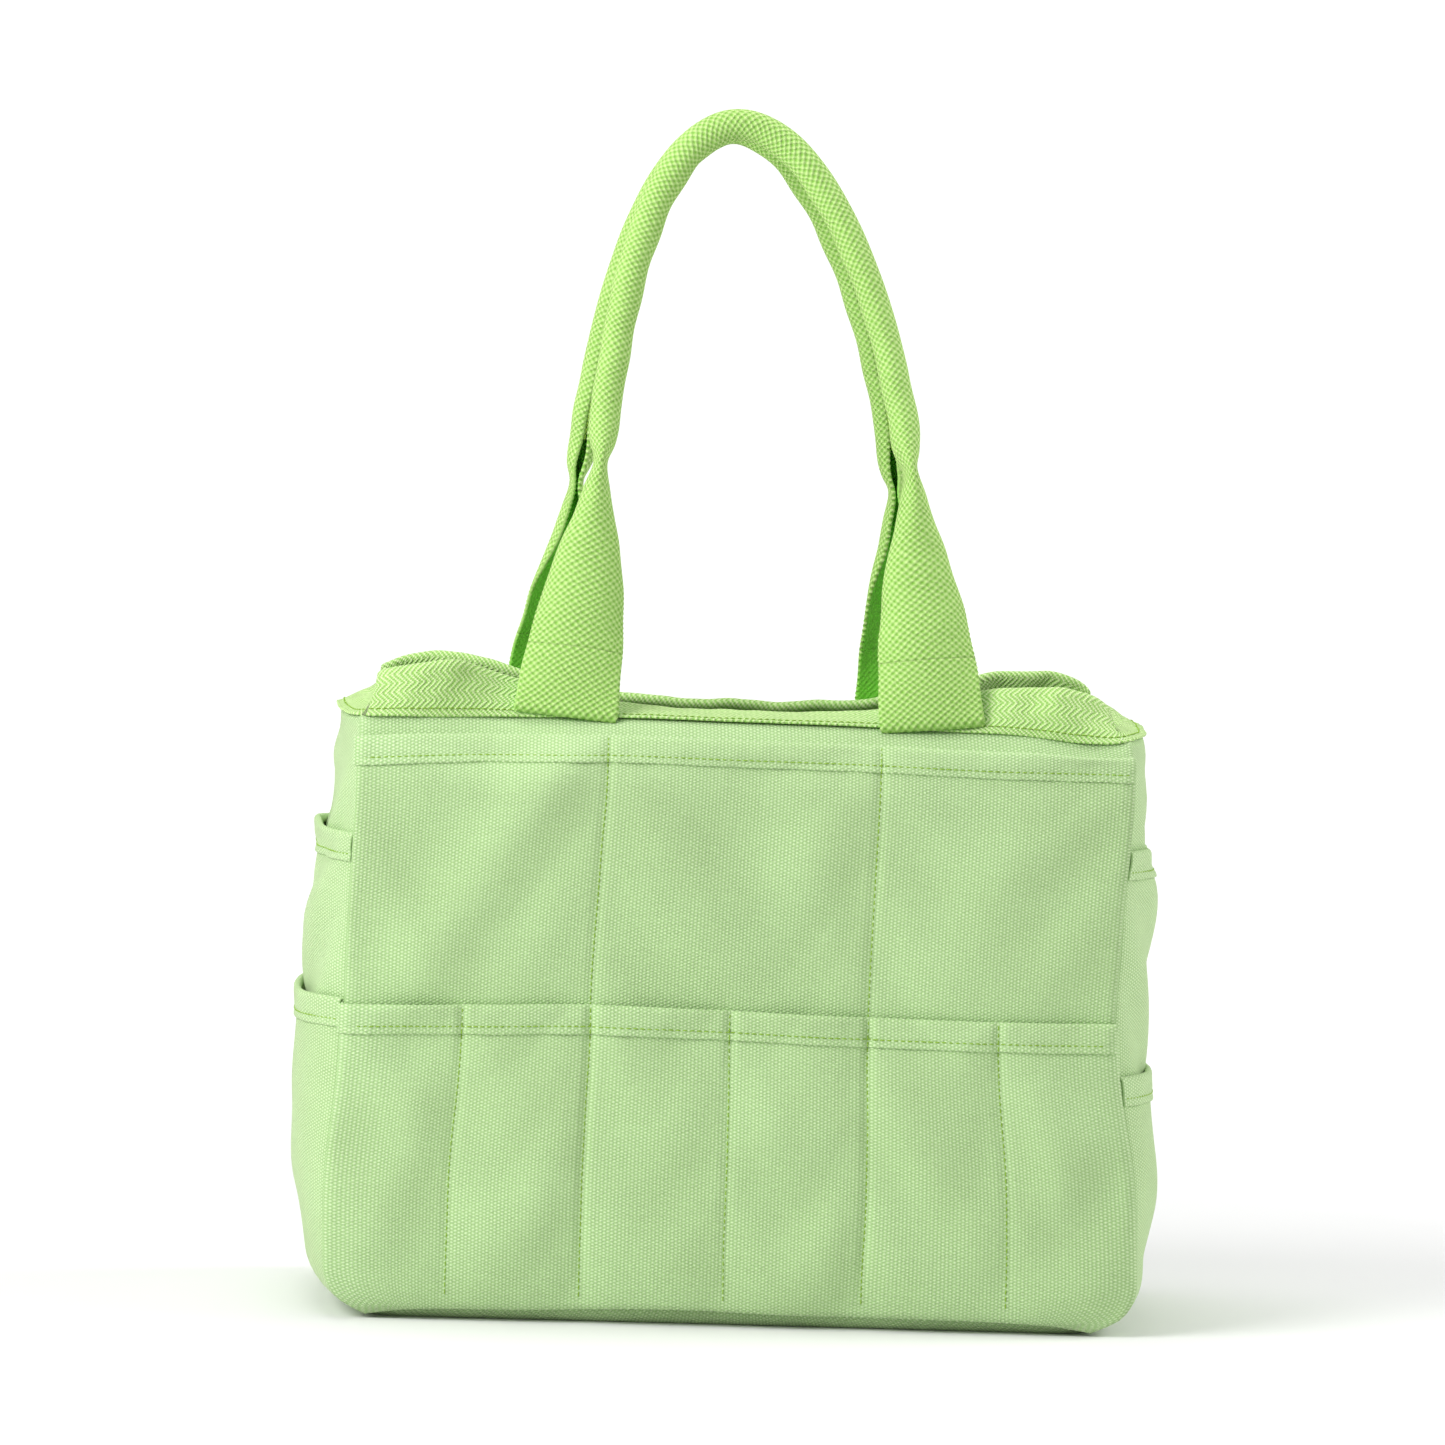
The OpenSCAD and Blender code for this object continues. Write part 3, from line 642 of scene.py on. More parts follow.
def cloth(name, light, dark, pattern, depth, shade=None, sheen=0.35, rough=0.86):
    """Woven cloth. pattern gives the height of the weave from its place on the cloth in mm,
    light and dark the colours of its crests and gaps, which paint a highlight on the crests and
    shade in the gaps, and shade the colour of its inner face, which is painted shade: the
    more saturated green that webbing shows in shade, put on the whole inner face."""
    n = Nodes(name)
    uv = n.add("ShaderNodeUVMap", uv_map="cloth").outputs[0]
    split = n.add("ShaderNodeSeparateXYZ", {0: uv}).outputs
    h = pattern(n, split[0], split[1], uv)
    uneven = n.noise(uv, 0.11, 3)
    strength = n.math("MULTIPLY_ADD", uneven, 0.5, 0.8)
    slub = n.add("ShaderNodeMapping", {"Vector": uv, "Scale": (0.05, 0.9, 1)}).outputs[0]
    slub = n.noise(slub, 1.0, 2)
    h = n.math("MULTIPLY_ADD", n.math("SUBTRACT", h, 0.5), strength, 0.5)
    # Painted highlight and painted shade: the weave's crests are coloured lighter and its gaps darker,
    # on top of the bump
    colour = n.blend(h, linear(dark), linear(light))
    # Painted shade: the inner face is mixed towards a more saturated green, wherever it lies
    if shade is not None:
        inside = n.add("ShaderNodeAttribute", attribute_name="inner").outputs["Fac"]
        colour = n.blend(n.math("MULTIPLY", inside, 0.9), colour, linear(shade))
    patchy = n.math("ADD", n.math("MULTIPLY_ADD", n.noise(uv, 0.018, 4, 0.6), 0.20, 0.86),
                    n.math("MULTIPLY", slub, 0.06))
    colour = n.blend(1.0, colour, n.add("ShaderNodeCombineColor", {
        0: patchy, 1: patchy, 2: n.math("MULTIPLY_ADD", patchy, 1.3, -0.3)}).outputs[0], "MULTIPLY")
    fuzz = n.noise(uv, 3.2, 2, 0.7)
    height = n.math("ADD", n.math("MULTIPLY", h, depth), n.math("MULTIPLY", fuzz, 0.10))
    height = n.math("ADD", height, n.math("MULTIPLY", slub, 0.05))
    bump = n.add("ShaderNodeBump", {"Height": height, "Distance": 0.001, "Strength": 1.0})
    bsdf = n.add("ShaderNodeBsdfPrincipled", {
        "Base Color": colour, "Normal": bump.outputs[0], "Roughness": rough,
        "Sheen Weight": sheen, "Sheen Roughness": 0.45, "Specular IOR Level": 0.2,
        "Sheen Tint": linear([min(255, x * 1.1 + 20) for x in light])})
    n.add("ShaderNodeOutputMaterial", {"Surface": bsdf.outputs[0]})
    return n.owner


def canvas_pattern(n, u, v, place):
    grains = plain_weave(n, u, v, place, 2.54, 1.18)
    columns = n.math("MULTIPLY_ADD", n.wave(u, 1.27), 0.5, 0.5)
    return n.math("MULTIPLY_ADD", columns, 0.32, n.math("MULTIPLY", grains, 0.68))


def webbing_pattern(n, u, v, place):
    return plain_weave(n, u, v, place, 2.9, 2.35)


# Each cloth's light and dark colours paint a highlight on the weave's crests and shade in its gaps
SLOTS = {
    "canvas": cloth("Canvas", (220, 243, 193), (135, 180, 101), canvas_pattern, 0.32),
    # The webbing's inner face is painted shade, (146, 238, 88); where a handle folds out into the
    # light, that face shows a stronger green than the outer one
    "webbing": cloth("Webbing", (211, 244, 158), (134, 194, 74), webbing_pattern, 0.6,
                     shade=(146, 238, 88)),
    "rim_tape": cloth("Herringbone_tape", (226, 250, 184), (146, 204, 88), herringbone, 0.5),
    "binding_tape": cloth("Binding_tape", (190, 234, 142), (140, 200, 90), herringbone, 0.2),
    "thread": cloth("Thread", (170, 206, 84), (112, 160, 40), twisted, 0.05, sheen=0.15,
                    rough=0.6),
    "filler_cord": cloth("Filler_cord", (238, 236, 224), (205, 202, 186), twisted, 0.1),
}


def dress(thing, slot, node=None, body="bag"):
    """Gives a piece its cloth and the body it rides on, and hides the CAD node it stands for."""
    thing.data.materials.append(SLOTS[slot])
    if body:
        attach(thing, body)
    if node:
        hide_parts(node)


# ---------------------------------------------------------------- body of the bag


def turn(p):
    """Half a turn about the bag's middle: front to back, and right to left."""
    return p * np.array([-1, -1, 1])


def placed(side):
    """Puts points made for the front or the right in their place on the sagging bag."""
    return (lambda p: settle(turn(p))) if side in ("back", "left") else settle


RELIEF = {}  # what the simulated sheets of each side of the bag add to its shape
for seed, side in enumerate(("front", "back")):
    RELIEF[side, "upper"] = relaxed(
        f"{side}_upper_sim", 2 * HALF_WAIST, *FACE_POCKETS["upper"], 0.0022, 40 + seed)
    RELIEF[side, "lower"] = relaxed(
        f"{side}_lower_sim", 2 * HALF_WAIST, *FACE_POCKETS["lower"], 0.004, 50 + seed, limit=1.8)
for seed, side in enumerate(("left", "right")):
    edges = (-HALF_DEPTH, HALF_DEPTH)
    RELIEF[side, "gusset"] = relaxed(
        f"{side}_gusset_sim", 2 * HALF_DEPTH, SEAM, edges, 0.010, 60 + seed, limit=3.2)
    RELIEF[side, "pocket"] = relaxed(
        f"{side}_pocket_sim", 2 * HALF_DEPTH, SIDE_HEMS[side]["upper"], edges, 0.006, 70 + seed,
        limit=2.2)

ROOM = 1.3  # slack of a pocket between the lines that sew it down, and as much again at its mouth
MOUTH_BAND = 26  # how far below its top a pocket's mouth begins to open


def pocket_at(side, layer, c, z):
    """Depth of the middle surface of a row of pockets."""
    top, lines = FACE_POCKETS[layer]
    opening = smooth((z - POCKET_BOTTOM) / 24) + smooth((z - top + MOUTH_BAND) / MOUTH_BAND)
    room = ROOM * opening * puff(c, lines)
    room = room + np.maximum(look_up(RELIEF[side, layer], c, z), -0.5 * room)
    if layer == "upper":
        lean = 0.8 * (HALF_DEPTH - panel_face(c, np.minimum(z, SEAM), 0)[0])
        return HALF_DEPTH + GAP + 0.5 * POCKET_CLOTH + room - lean
    return pocket_at(side, "upper", c, z) + POCKET_CLOTH + GAP + room


def face_x(c, z):
    """Place across the bag of a point c across a panel."""
    z = np.clip(z, 0, SEAM)
    near_corner = smooth((np.abs(c) / HALF_WAIST - 0.70) / 0.36) / smooth(0.30 / 0.36)
    return c * taper(z) / HALF_WAIST - np.sign(c) * corner_inset(z) * near_corner


def pocket_x(layer, c, z):
    """The same for a row of pockets, whose outer edges reach over the ends of the side pockets,
    more at the left, where the camera sees along the seam."""
    reach = np.where(c < 0, 1.2, 0) + (0.8 if layer == "upper" else 2.0)
    return face_x(c, z) + np.sign(c) * reach * smooth((np.abs(c) - HALF_WAIST + 20) / 20)


FOOT_RISE, SIDE_FOOT_RISE = 4.4, 1.6  # how far the bottom edges arch up, at the faces and sides


def panel(side):
    c = np.linspace(-HALF_WAIST, HALF_WAIST, 100)
    wall = np.linspace(CLOTH_BOTTOM + 0.6, SEAM - 32, 62)
    c, h = np.meshgrid(c, np.concatenate([wall, np.linspace(SEAM - 29.5, SEAM + 3, 15)]))
    h = lifted(c / HALF_WAIST, h, FOOT_RISE)
    depth, z = panel_face(c, h, -CANVAS / 2)
    p = np.stack([face_x(c, h), -depth, z], -1)
    thing = shell(f"{side}_panel_canvas", p, CANVAS, np.stack([c, h], -1), finish=placed(side))
    dress(thing, "canvas", f"{side}_panel")


def side_tilt(u):
    """Lean of the tape along the top of a gusset, in degrees."""
    return 62 + 6 * (1 - np.abs(u) ** 2)


def gusset_line(side, u, h):
    """A gusset's middle surface; above the seam it leans in under the tape."""
    end = panel_face(HALF_WAIST, np.minimum(h, SEAM), -CANVAS - GAP)[0]
    over = np.maximum(h - SEAM, 0)
    tilt = np.radians(side_tilt(u))
    relief = look_up(RELIEF[side, "gusset"], u * HALF_DEPTH, np.minimum(h, SEAM))
    relief = relief * smooth((SEAM - h) / 25) * smooth(h / 20)
    x = side_reach(side, "gusset", u, np.minimum(h, SEAM)) + relief - over * np.sin(tilt)
    return np.stack([x, u * end, np.minimum(h, SEAM) + over * np.cos(tilt)], -1)


def gusset(side):
    u, h = np.meshgrid(np.linspace(-1, 1, 49), np.linspace(CLOTH_BOTTOM + 0.6, SEAM + 3, 84))
    h = lifted(u, h, SIDE_FOOT_RISE)
    p = gusset_line(side, u, h)
    thing = shell(f"{side}_gusset_canvas", p, CANVAS,
                  np.stack([u * HALF_DEPTH, h], -1), finish=placed(side))
    dress(thing, "canvas", f"{side}_gusset")


def side_at(side, layer, u, z):
    """Distance of a side pocket's middle surface from the gusset's middle plane."""
    behind = gusset_line(side, u, z)[..., 0]
    mine = side_reach(side, "upper", u, z)
    mine = mine + look_up(RELIEF[side, "pocket"], u * HALF_DEPTH, z) * smooth(z / 25)
    upper = np.maximum(mine, behind + 1.35)
    if layer == "upper":
        return upper
    return np.maximum(side_reach(side, "lower", u, z), upper + 1.3)


def along_side(layer, u):
    """Place along the side of the bag; each side pocket ends behind the front one's edge."""
    return u * (HALF_DEPTH + (-0.2 if layer == "upper" else 1.0))


# A hem in section, from its raw edge outside, over the fold, and down inside the pocket:
# distance out from the sheet's middle, and height from the hem's top
HEM_SECTION = np.array([
    (0.90, -HEM_BAND), (1.02, -9.8), (1.08, -9.4), (1.10, -8.8), (1.06, -8.2), (0.96, -7.5),
    (1.0, -6.9), (1.08, -6.2), (1.12, -5.0), (1.14, -3.6), (1.16, -2.2), (1.10, -1.1),
    (0.78, -0.35), (0.30, 0.0), (-0.28, -0.05), (-0.75, -0.45), (-0.98, -1.2), (-1.0, -2.6)])
STITCH_ROW = -7.5
STITCH_OUT = 1.22  # how far the stitches along a hem stand out from the sheet's middle


def hem_offsets(run):
    """The section along a hem, pinched at each stitch: arrays of distance out and height."""
    off = HEM_SECTION[:, 0:1] + 0 * run[None]
    dz = HEM_SECTION[:, 1:2] + 0 * run[None]
    pinch = bell((dz - STITCH_ROW) / 0.85) * (off > 0)
    off = off - pinch * 0.14 * (0.6 + 0.4 * np.cos(2 * math.pi * run / PITCH))
    off = off + 0.16 * ripple(run[None], dz, 77, 9) * (off > 0.2)
    dz = dz + 0.12 * ripple(run, 0 * run, 78, 14)[None] * (off > -0.2)
    return off, dz


def hemmed(name, side, point, columns, rows, top, rise):
    """A pocket's sheet and its hem. point gives their points from the distance across, the
    height and the distance out from the sheet's middle."""
    half = columns[-1]
    a, z = np.meshgrid(columns, rows)
    z = lifted(a / half, z, rise)
    sheet = shell(f"{name}_canvas", point(a, z, 0), POCKET_CLOTH, np.stack([a, z], -1),
                  finish=placed(side))
    dress(sheet, "canvas", name)
    run = np.arange(-half, half + 0.01, 0.8)
    off, dz = hem_offsets(run)
    a, z = np.broadcast_to(run[None], off.shape), top + dz
    place = np.stack([a + 0.6, lengths(HEM_SECTION)[:, None] + 0 * z], -1)
    hem = shell(f"{name}_hem", point(a, z, off), HEM_CLOTH, place, finish=placed(side))
    dress(hem, "canvas")


def front_pocket(side, layer):
    """One row of pockets, with columns of points close together at its stitched lines."""
    top, lines = FACE_POCKETS[layer]
    c = np.unique(np.round(np.concatenate(
        [np.linspace(-HALF_WAIST, HALF_WAIST, 112)]
        + [np.arange(-6, 6.1, 1.0) + line for line in lines]), 2))
    c = c[np.abs(c) <= HALF_WAIST]
    c = c[np.concatenate([[True], np.diff(c) > 0.35])]
    c[-1] = HALF_WAIST
    rows = np.linspace(CLOTH_BOTTOM, top - 1.3, int((top - POCKET_BOTTOM) / 2.2))

    def point(a, z, off):
        return np.stack([pocket_x(layer, a, z), -pocket_at(side, layer, a, z) - off, z], -1)

    hemmed(f"{side}_{layer}_pockets", side, point, c, rows, top, FOOT_RISE)


def side_pocket(side, layer):
    top = SIDE_HEMS[side][layer]
    columns = np.linspace(-HALF_DEPTH, HALF_DEPTH, 57)
    rows = np.linspace(CLOTH_BOTTOM, top - 1.3, int((top - POCKET_BOTTOM) / 2.3))

    def point(a, z, off):
        u = a / HALF_DEPTH
        return np.stack([side_at(side, layer, u, z) + off, along_side(layer, u), z], -1)

    hemmed(f"{side}_{layer}_pocket", side, point, columns, rows, top, SIDE_FOOT_RISE)


def face_threads(side):
    """The stitches along a face's two hems, and down between its pockets."""
    lines = []
    run = np.arange(-HALF_WAIST + 1, HALF_WAIST - 0.5, 0.6)
    for layer, (top, _) in FACE_POCKETS.items():
        z = np.full(len(run), top + STITCH_ROW)
        depth = pocket_at(side, layer, run, z) + STITCH_OUT
        lines.append((np.stack([face_x(run, z), -depth, z], -1), np.array([0, -1.0, 0.12])))
    for layer, low in (("upper", LOWER_HEM - 6), ("lower", FOOT_RISE + 5)):
        top, sewn = FACE_POCKETS[layer]
        for c in sewn[1:-1]:
            z = np.arange(low, top - 0.4, 0.6)
            sway = c + 0.25 * ripple(z, 0 * z, int(c) + 200, 40)
            depth = pocket_at(side, layer, sway, z) + mix(
                0.46, 1.42, smooth((z - top + HEM_BAND + 0.6) / 1.2))
            lines.append((np.stack([face_x(sway, z), -depth, z], -1), np.array([0, -1.0, 0])))
    thing = stitches(f"{side}_pocket_stitches", lines, placed(side))
    dress(thing, "thread", f"{side}_pocket_thread")


def side_threads(side):
    """The stitches along the hems of a side's two pockets."""
    lines = []
    run = np.arange(-HALF_DEPTH + 1, HALF_DEPTH - 0.5, 0.6)
    u = run / HALF_DEPTH
    for layer, top in SIDE_HEMS[side].items():
        z = np.full(len(run), top + STITCH_ROW)
        reach = side_at(side, layer, u, z) + STITCH_OUT
        lines.append((np.stack([reach, along_side(layer, u), z], -1), np.array([1.0, 0, 0.1])))
    thing = stitches(f"{side}_pocket_stitches", lines, placed(side))
    dress(thing, "thread", f"{side}_pocket_thread")


def rounded_outline(half_x, half_y, radius, count):
    """Points round a rectangle with rounded corners, anticlockwise from above."""
    in_x, in_y = half_x - radius, half_y - radius
    points = []
    for x, y, start in ((in_x, -in_y, -90), (in_x, in_y, 0), (-in_x, in_y, 90), (-in_x, -in_y, 180)):
        for a in np.radians(np.linspace(start, start + 90, 10)):
            points.append((x + radius * math.cos(a), y + radius * math.sin(a)))
    points = np.array(points + points[:1])
    s = lengths(points)
    at = np.linspace(0, s[-1], count, endpoint=False)
    return between(at, s, points), at


def base():
    """The canvas floor, turned up at its edge, and the binding inside its seam."""
    half_x, half_y = half_width(PANEL_BOTTOM) - 1.5, HALF_DEPTH - 2.4
    outline, run = rounded_outline(half_x, half_y, 13, 300)
    # Rings of points: their size, as a share of the outline's, and their height
    rings = [(t, 0.72) for t in (0.02, 0.15, 0.3, 0.45, 0.6, 0.72, 0.82, 0.9, 0.95)]
    rings += [(0.965, 0.78), (0.98, 1.15), (0.992, 1.9), (0.999, 3.0), (1.0, 4.4), (0.998, 6.0)]
    p = np.array([[(t * x, t * y, z) for x, y in outline] for t, z in rings])
    grow = np.array([smooth((t - 0.9) / 0.08) for t, _ in rings])[:, None, None]
    wobble = 0.5 * ripple(run, 0 * run, 91, 60)[:, None]
    p[..., :2] += grow * wobble * unit(outline)
    place = p[..., :2] * (1 + p[..., 2:] / HALF_DEPTH)
    thing = shell("base_canvas", p, CANVAS, place, wrap=True, finish=settle)
    dress(thing, "canvas", "base_panel")

    outline, run = rounded_outline(half_x - 3.4, half_y - 3.4, 9, 260)
    section = [(0, 2.2), (0, 5), (0, 7.6), (0.35, 8.4), (1.0, 8.7), (1.6, 8.4), (1.9, 7.6),
               (1.9, 5), (1.9, 2.2)]  # distance in from the outline, and height
    ring = np.array([[(x - inset * np.sign(x) * 0.8, y - inset * np.sign(y) * 0.8,
                       z + 0.5 * math.sin(s / 17)) for (x, y), s in zip(outline, run)]
                     for inset, z in section])
    place = grid(run, np.linspace(0, 15, len(section)))
    thing = shell("base_binding_tape", ring, BINDING_CLOTH, place, wrap=True)
    dress(thing, "binding_tape", "base_binding")


def corner_binding(face, side):
    """The folded tape over the raw edges inside one upright seam."""
    z = np.linspace(11, SEAM - 4, 76)
    section = np.array([(0, -0.85), (2, -0.9), (4, -0.9), (5.4, -0.75), (6.1, 0), (5.4, 0.75),
                        (4, 0.9), (2, 0.9), (0, 0.85)])
    swing = 0.10 * ripple(z, 0 * z, 300 + len(face + side), 60) + 0.12
    x, y, swing = (a[:, None] for a in (
        half_width(z) - CANVAS - 1.2, panel_face(HALF_WAIST, z, -CANVAS)[0] - 1.2, swing))
    d, w = section.T  # away from the corner, and along the tape's thickness
    px = x - (d + w) * math.sqrt(0.5) + d * swing
    py = y - (d - w) * math.sqrt(0.5) - d * swing
    sx, sy = (1 if side == "right" else -1), (1 if face == "back" else -1)
    p = np.stack([px * sx, py * sy, np.broadcast_to(z[:, None], px.shape)], -1)
    if sx * sy < 0:
        p = p[:, ::-1]
    place = grid(np.linspace(0, 14, len(section)), z)[..., ::-1]
    thing = shell(f"{face}_{side}_binding_tape", p, BINDING_CLOTH, place, finish=settle)
    dress(thing, "binding_tape", f"{face}_{side}_binding")


# ---------------------------------------------------------------- rim


def softened(a, window):
    """Columns of numbers smoothed round a loop."""
    kernel = np.hanning(window + 2)[1:-1]
    kernel /= kernel.sum()
    wrapped = np.concatenate([a[-window:], a, a[:window]])
    return np.stack([np.convolve(column, kernel, "same")[window:-window]
                     for column in wrapped.T], -1)


def rim_stations(step=1.5):
    """Stations round the rim, anticlockwise from above: place, outward direction and tilt."""
    rows = []
    for face, side in ((1, "right"), (-1, "left")):
        for c in np.linspace(-HALF_WAIST + 2, HALF_WAIST - 2, 140):
            tilt = np.degrees(rim_tilt(c))
            rows.append((c * face, -float(seam_depth(c)) * face, 0, -face, float(tilt)))
        for u in np.linspace(-0.94, 0.94, 60):
            x = float(side_reach(side, "gusset", u, SEAM)) + CANVAS / 2
            rows.append((x * face, u * RIM_CORNER * face, face, 0, float(side_tilt(u))))
    rows = np.array(rows + rows[:1])
    s = lengths(rows[:, :2])
    at = np.linspace(0, s[-1], int(s[-1] / step), endpoint=False)
    st = between(at, s, rows)
    outward = unit(softened(st[:, 2:4], 13))
    return np.concatenate([softened(st[:, :2], 9), outward, softened(st[:, 4:], 15)], -1), at


def rim_points(stations, run, off, up):
    """Points near the rim: out from the canvas and up along the tilted tape, crumpled."""
    x, y, ox, oy = (stations[None, :, i] for i in range(4))
    tilt = np.radians(stations[None, :, 4])
    loose = smooth((np.abs(x) - 84) / 26)
    lift = 0.2 + 0.8 * smooth(up / TAPE_HEIGHT)
    tilt = tilt + loose * lift * 0.20 * ripple(run[None], 0 * up, 401, 46)
    crumple = (0.35 + 1.25 * loose) * lift * (
        ripple(run[None], up, 402, 21, along=0.25, spread=1.2)
        + 0.5 * ripple(run[None], up, 403, 10.5, along=0.1, spread=1.6))
    up = up * (1 + 0.05 * loose * ripple(run[None], 0 * up, 404, 33))
    off = off + crumple
    n_xy, n_z = np.cos(tilt), np.sin(tilt)
    return np.stack([
        x + ox * (off * n_xy - up * n_z),
        y + oy * (off * n_xy - up * n_z),
        SEAM + off * n_z + up * n_xy + 0 * x], -1)


def rim():
    """The tape folded over the rim, from its outer edge up and down again inside, and its stitches."""
    stations, run = rim_stations()
    h = TAPE_HEIGHT
    section = [(1.25, -0.35), (1.0, 0.3), (0.95, 1.2), (0.82, 2.4), (0.92, 3.6)]
    section += [(0.95, up) for up in np.linspace(5.0, h - 2.2, 8)]
    section += [(0.7, h - 1.1), (0.0, h - 0.35), (-0.7, h - 0.1), (-1.5, h - 0.4), (-2.1, h - 1.3)]
    section += [(-2.3, up) for up in np.linspace(h - 2.6, 0.5, 9)]
    section = np.array(section)
    off = np.broadcast_to(section[:, 0:1], (len(section), len(run)))
    up = np.broadcast_to(section[:, 1:2], off.shape)
    p = rim_points(stations, run, off, up)
    place = grid(run, lengths(section))
    thing = shell("rim_tape_folded", p, TAPE_CLOTH, place, wrap=True, finish=settle)
    dress(thing, "rim_tape", "rim_tape")

    def row(off):
        return rim_points(stations, run, np.full((1, len(run)), off), np.full((1, len(run)), 2.4))[0]

    lines = [(row(off), unit(row(off + math.copysign(1, off)) - row(off))) for off in (1.32, -2.78)]
    thing = stitches("rim_stitches", lines, settle)
    dress(thing, "thread", "rim_thread")


# ---------------------------------------------------------------- handles

# The webbing's section at some rises along a leg: half the angle it curls through, how narrow
# the curl is, and how much of the webbing's width it shows. It folds on itself at the neck and
# rolls round the cord above.
CURL = ((0, 12, 24, 36, 51, 62, 72, 81, 93, 103, 113, 125),
        (3, 28, 50, 70, 95, 118, 135, 142, 150, 160, 172, 177))
SQUEEZE = ((0, 24, 36, 51, 62, 72, 81, 93, 98, 103, 112, 125, 165, 205),
           (1.55, 1.58, 1.46, 1.45, 1.32, 0.84, 0.50, 0.24, 0.50, 0.68, 0.80, 0.84, 0.92, 1))
SHARE = ((0, 40, 93, 110), (1, 0.97, 0.92, 0.88))
ROOT_RISE = 24  # where the webbing is parted, between the handle's two hinges


def handle_line(face):
    """Stations along a handle, from the left foot to the right: [across, rise], every 0.9 mm,
    the distance run to each of them, and the rise of the neck."""
    rise = NECK_RISE if face == "front" else NECK_RISE - 8
    neck_x = NECK_X if face == "front" else NECK_X + 2.5
    leg = [(mix(LEG_X, neck_x, q / NECK_RISE), q) for q in np.linspace(-0.9, rise, 80)]
    t = np.linspace(0, 1, 160)[1:, None]
    a, b, c, d = (np.array(v, float) for v in (
        leg[-1], (neck_x - 8.5, rise + 75), (24.5, ARCH_RISE), (0, ARCH_RISE)))
    arch = (1 - t) ** 3 * a + 3 * (1 - t) ** 2 * t * b + 3 * (1 - t) * t * t * c + t ** 3 * d
    half = np.concatenate([np.array(leg), arch])
    line = np.concatenate([half * [-1, 1], half[-2::-1]])
    s = lengths(line)
    at = np.linspace(0, s[-1], int(s[-1] / 0.9))
    return between(at, s, line), at, rise


def handle_shift(face, q):
    """A handle sways sideways a little; both meet at the top."""
    foot, neck, top = (1.4, 2.6, -5.8) if face == "front" else (-1.6, -0.8, -6.6)
    return table(q, (0, 95, 222), (foot, neck, top))


def in_place(face, x, q, out):
    """From a handle's own plane to the bag."""
    p = np.stack([x, -HANDLE_DEPTH + q * math.sin(LEAN) - out * math.cos(LEAN),
                  HANDLE_FOOT + q * math.cos(LEAN) + out * math.sin(LEAN)], -1)
    if face == "back":
        p = turn(p)
    p[..., 0] += handle_shift(face, q)
    return p


def webbing_points(face, line, run, rise, across):
    """Middle surface of the webbing: a grid of stations by places across it."""
    q = line[:, 1] + NECK_RISE - rise
    along = unit(slopes(line, 0))
    half = np.radians(table(q, *CURL))
    squeeze = table(q, *SQUEEZE)
    share = table(q, *SHARE)
    f = np.linspace(-1, 1, 121)
    ax = squeeze[:, None] * np.sin(f * half[:, None])
    ay = np.cos(f * half[:, None])
    length = np.hypot(np.diff(ax), np.diff(ay)).sum(-1)
    k = WEB_WIDTH * share / length
    phi = half[:, None] * across[None]
    roll = smooth((q - NECK_RISE - 18) / 30)[:, None]
    inside = bell((np.degrees(phi) - 90) / 55)
    kink = 1 - roll * inside * (0.045 + 0.045 * np.cos(2 * math.pi * run[:, None] / 24))
    kink = kink - 0.025 * roll * ripple(run[:, None], phi * 6, 501, 18)
    x = k[:, None] * squeeze[:, None] * np.sin(phi) * kink
    rest = smooth((q - 14) / 80)[:, None]
    y = k[:, None] * (np.cos(phi) - mix(1.0, 0.0, rest)) * kink
    edge = 0.22 * np.cos(2 * math.pi * run / 1.85) * (1 - roll[:, 0])
    x = x + np.where(np.abs(across[None]) > 0.97, np.sign(across)[None] * edge[:, None], 0)
    x = x + 0.5 * (1 - roll) * ripple(run[:, None], 0 * phi, 510, 30)
    y = y + 0.35 * ripple(run[:, None], phi * 8, 511, 26) * (1 - roll)
    curl_under = np.clip(0.9 - line[:, 1], 0, 2)[:, None]
    y = y - 0.5 * curl_under ** 1.5
    return in_place(face, line[:, 0:1] + x * along[:, 1:2], line[:, 1:2] - x * along[:, 0:1], y)


def handle(face):
    """The webbing, parted at the height where the handle bends, with its cord and its stitches."""
    line, run, rise = handle_line(face)
    across = np.linspace(-1, 1, 41)
    p = webbing_points(face, line, run, rise, across)
    place = grid(across * WEB_WIDTH / 2 + 0.4, run)
    split = int(np.argmax(line[:, 1] > ROOT_RISE))
    n = len(run)
    foot = np.array(in_place(face, 0.0, 0.0, 0.0))
    step = np.array(in_place(face, 0.0, 1.0, 0.0)) - foot  # one millimetre up the handle
    step[0] = 0

    def bend(thing):
        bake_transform(thing)

    for side, rows in (("left", slice(0, split + 1)), ("right", slice(n - split - 1, n))):
        root = shell(f"{face}_strap_root_{side}", p[rows], WEB_THICK, place[rows], cut=True,
                     finish=settle)
        dress(root, "webbing", f"{face}_strap_roots", body=None)
        bend(root)
    upper = slice(split, n - split)
    strap = shell(f"{face}_handle_webbing", p[upper], WEB_THICK, place[upper], cut=True,
                  finish=settle)
    dress(strap, "webbing", f"{face}_handle_strap", body=None)
    bend(strap)

    grip = np.flatnonzero(line[:, 1] > rise + 12)
    centre = in_place(face, line[grip, 0], line[grip, 1], np.zeros(len(grip)))
    narrow = table(line[grip[::3], 1], *SQUEEZE)
    cord = filler_cord(f"{face}_handle_cord", centre[::3], GRIP_OUT * narrow - 1.85)
    dress(cord, "filler_cord", f"{face}_handle_core", body=f"{face}_handle")
    back = in_place(face, line[grip, 0], line[grip, 1], np.full(len(grip), -GRIP_OUT - 0.05))
    thread = stitches(f"{face}_handle_stitches", [(back, unit(back - centre))], settle)
    dress(thread, "thread", f"{face}_handle_thread", body=f"{face}_handle")


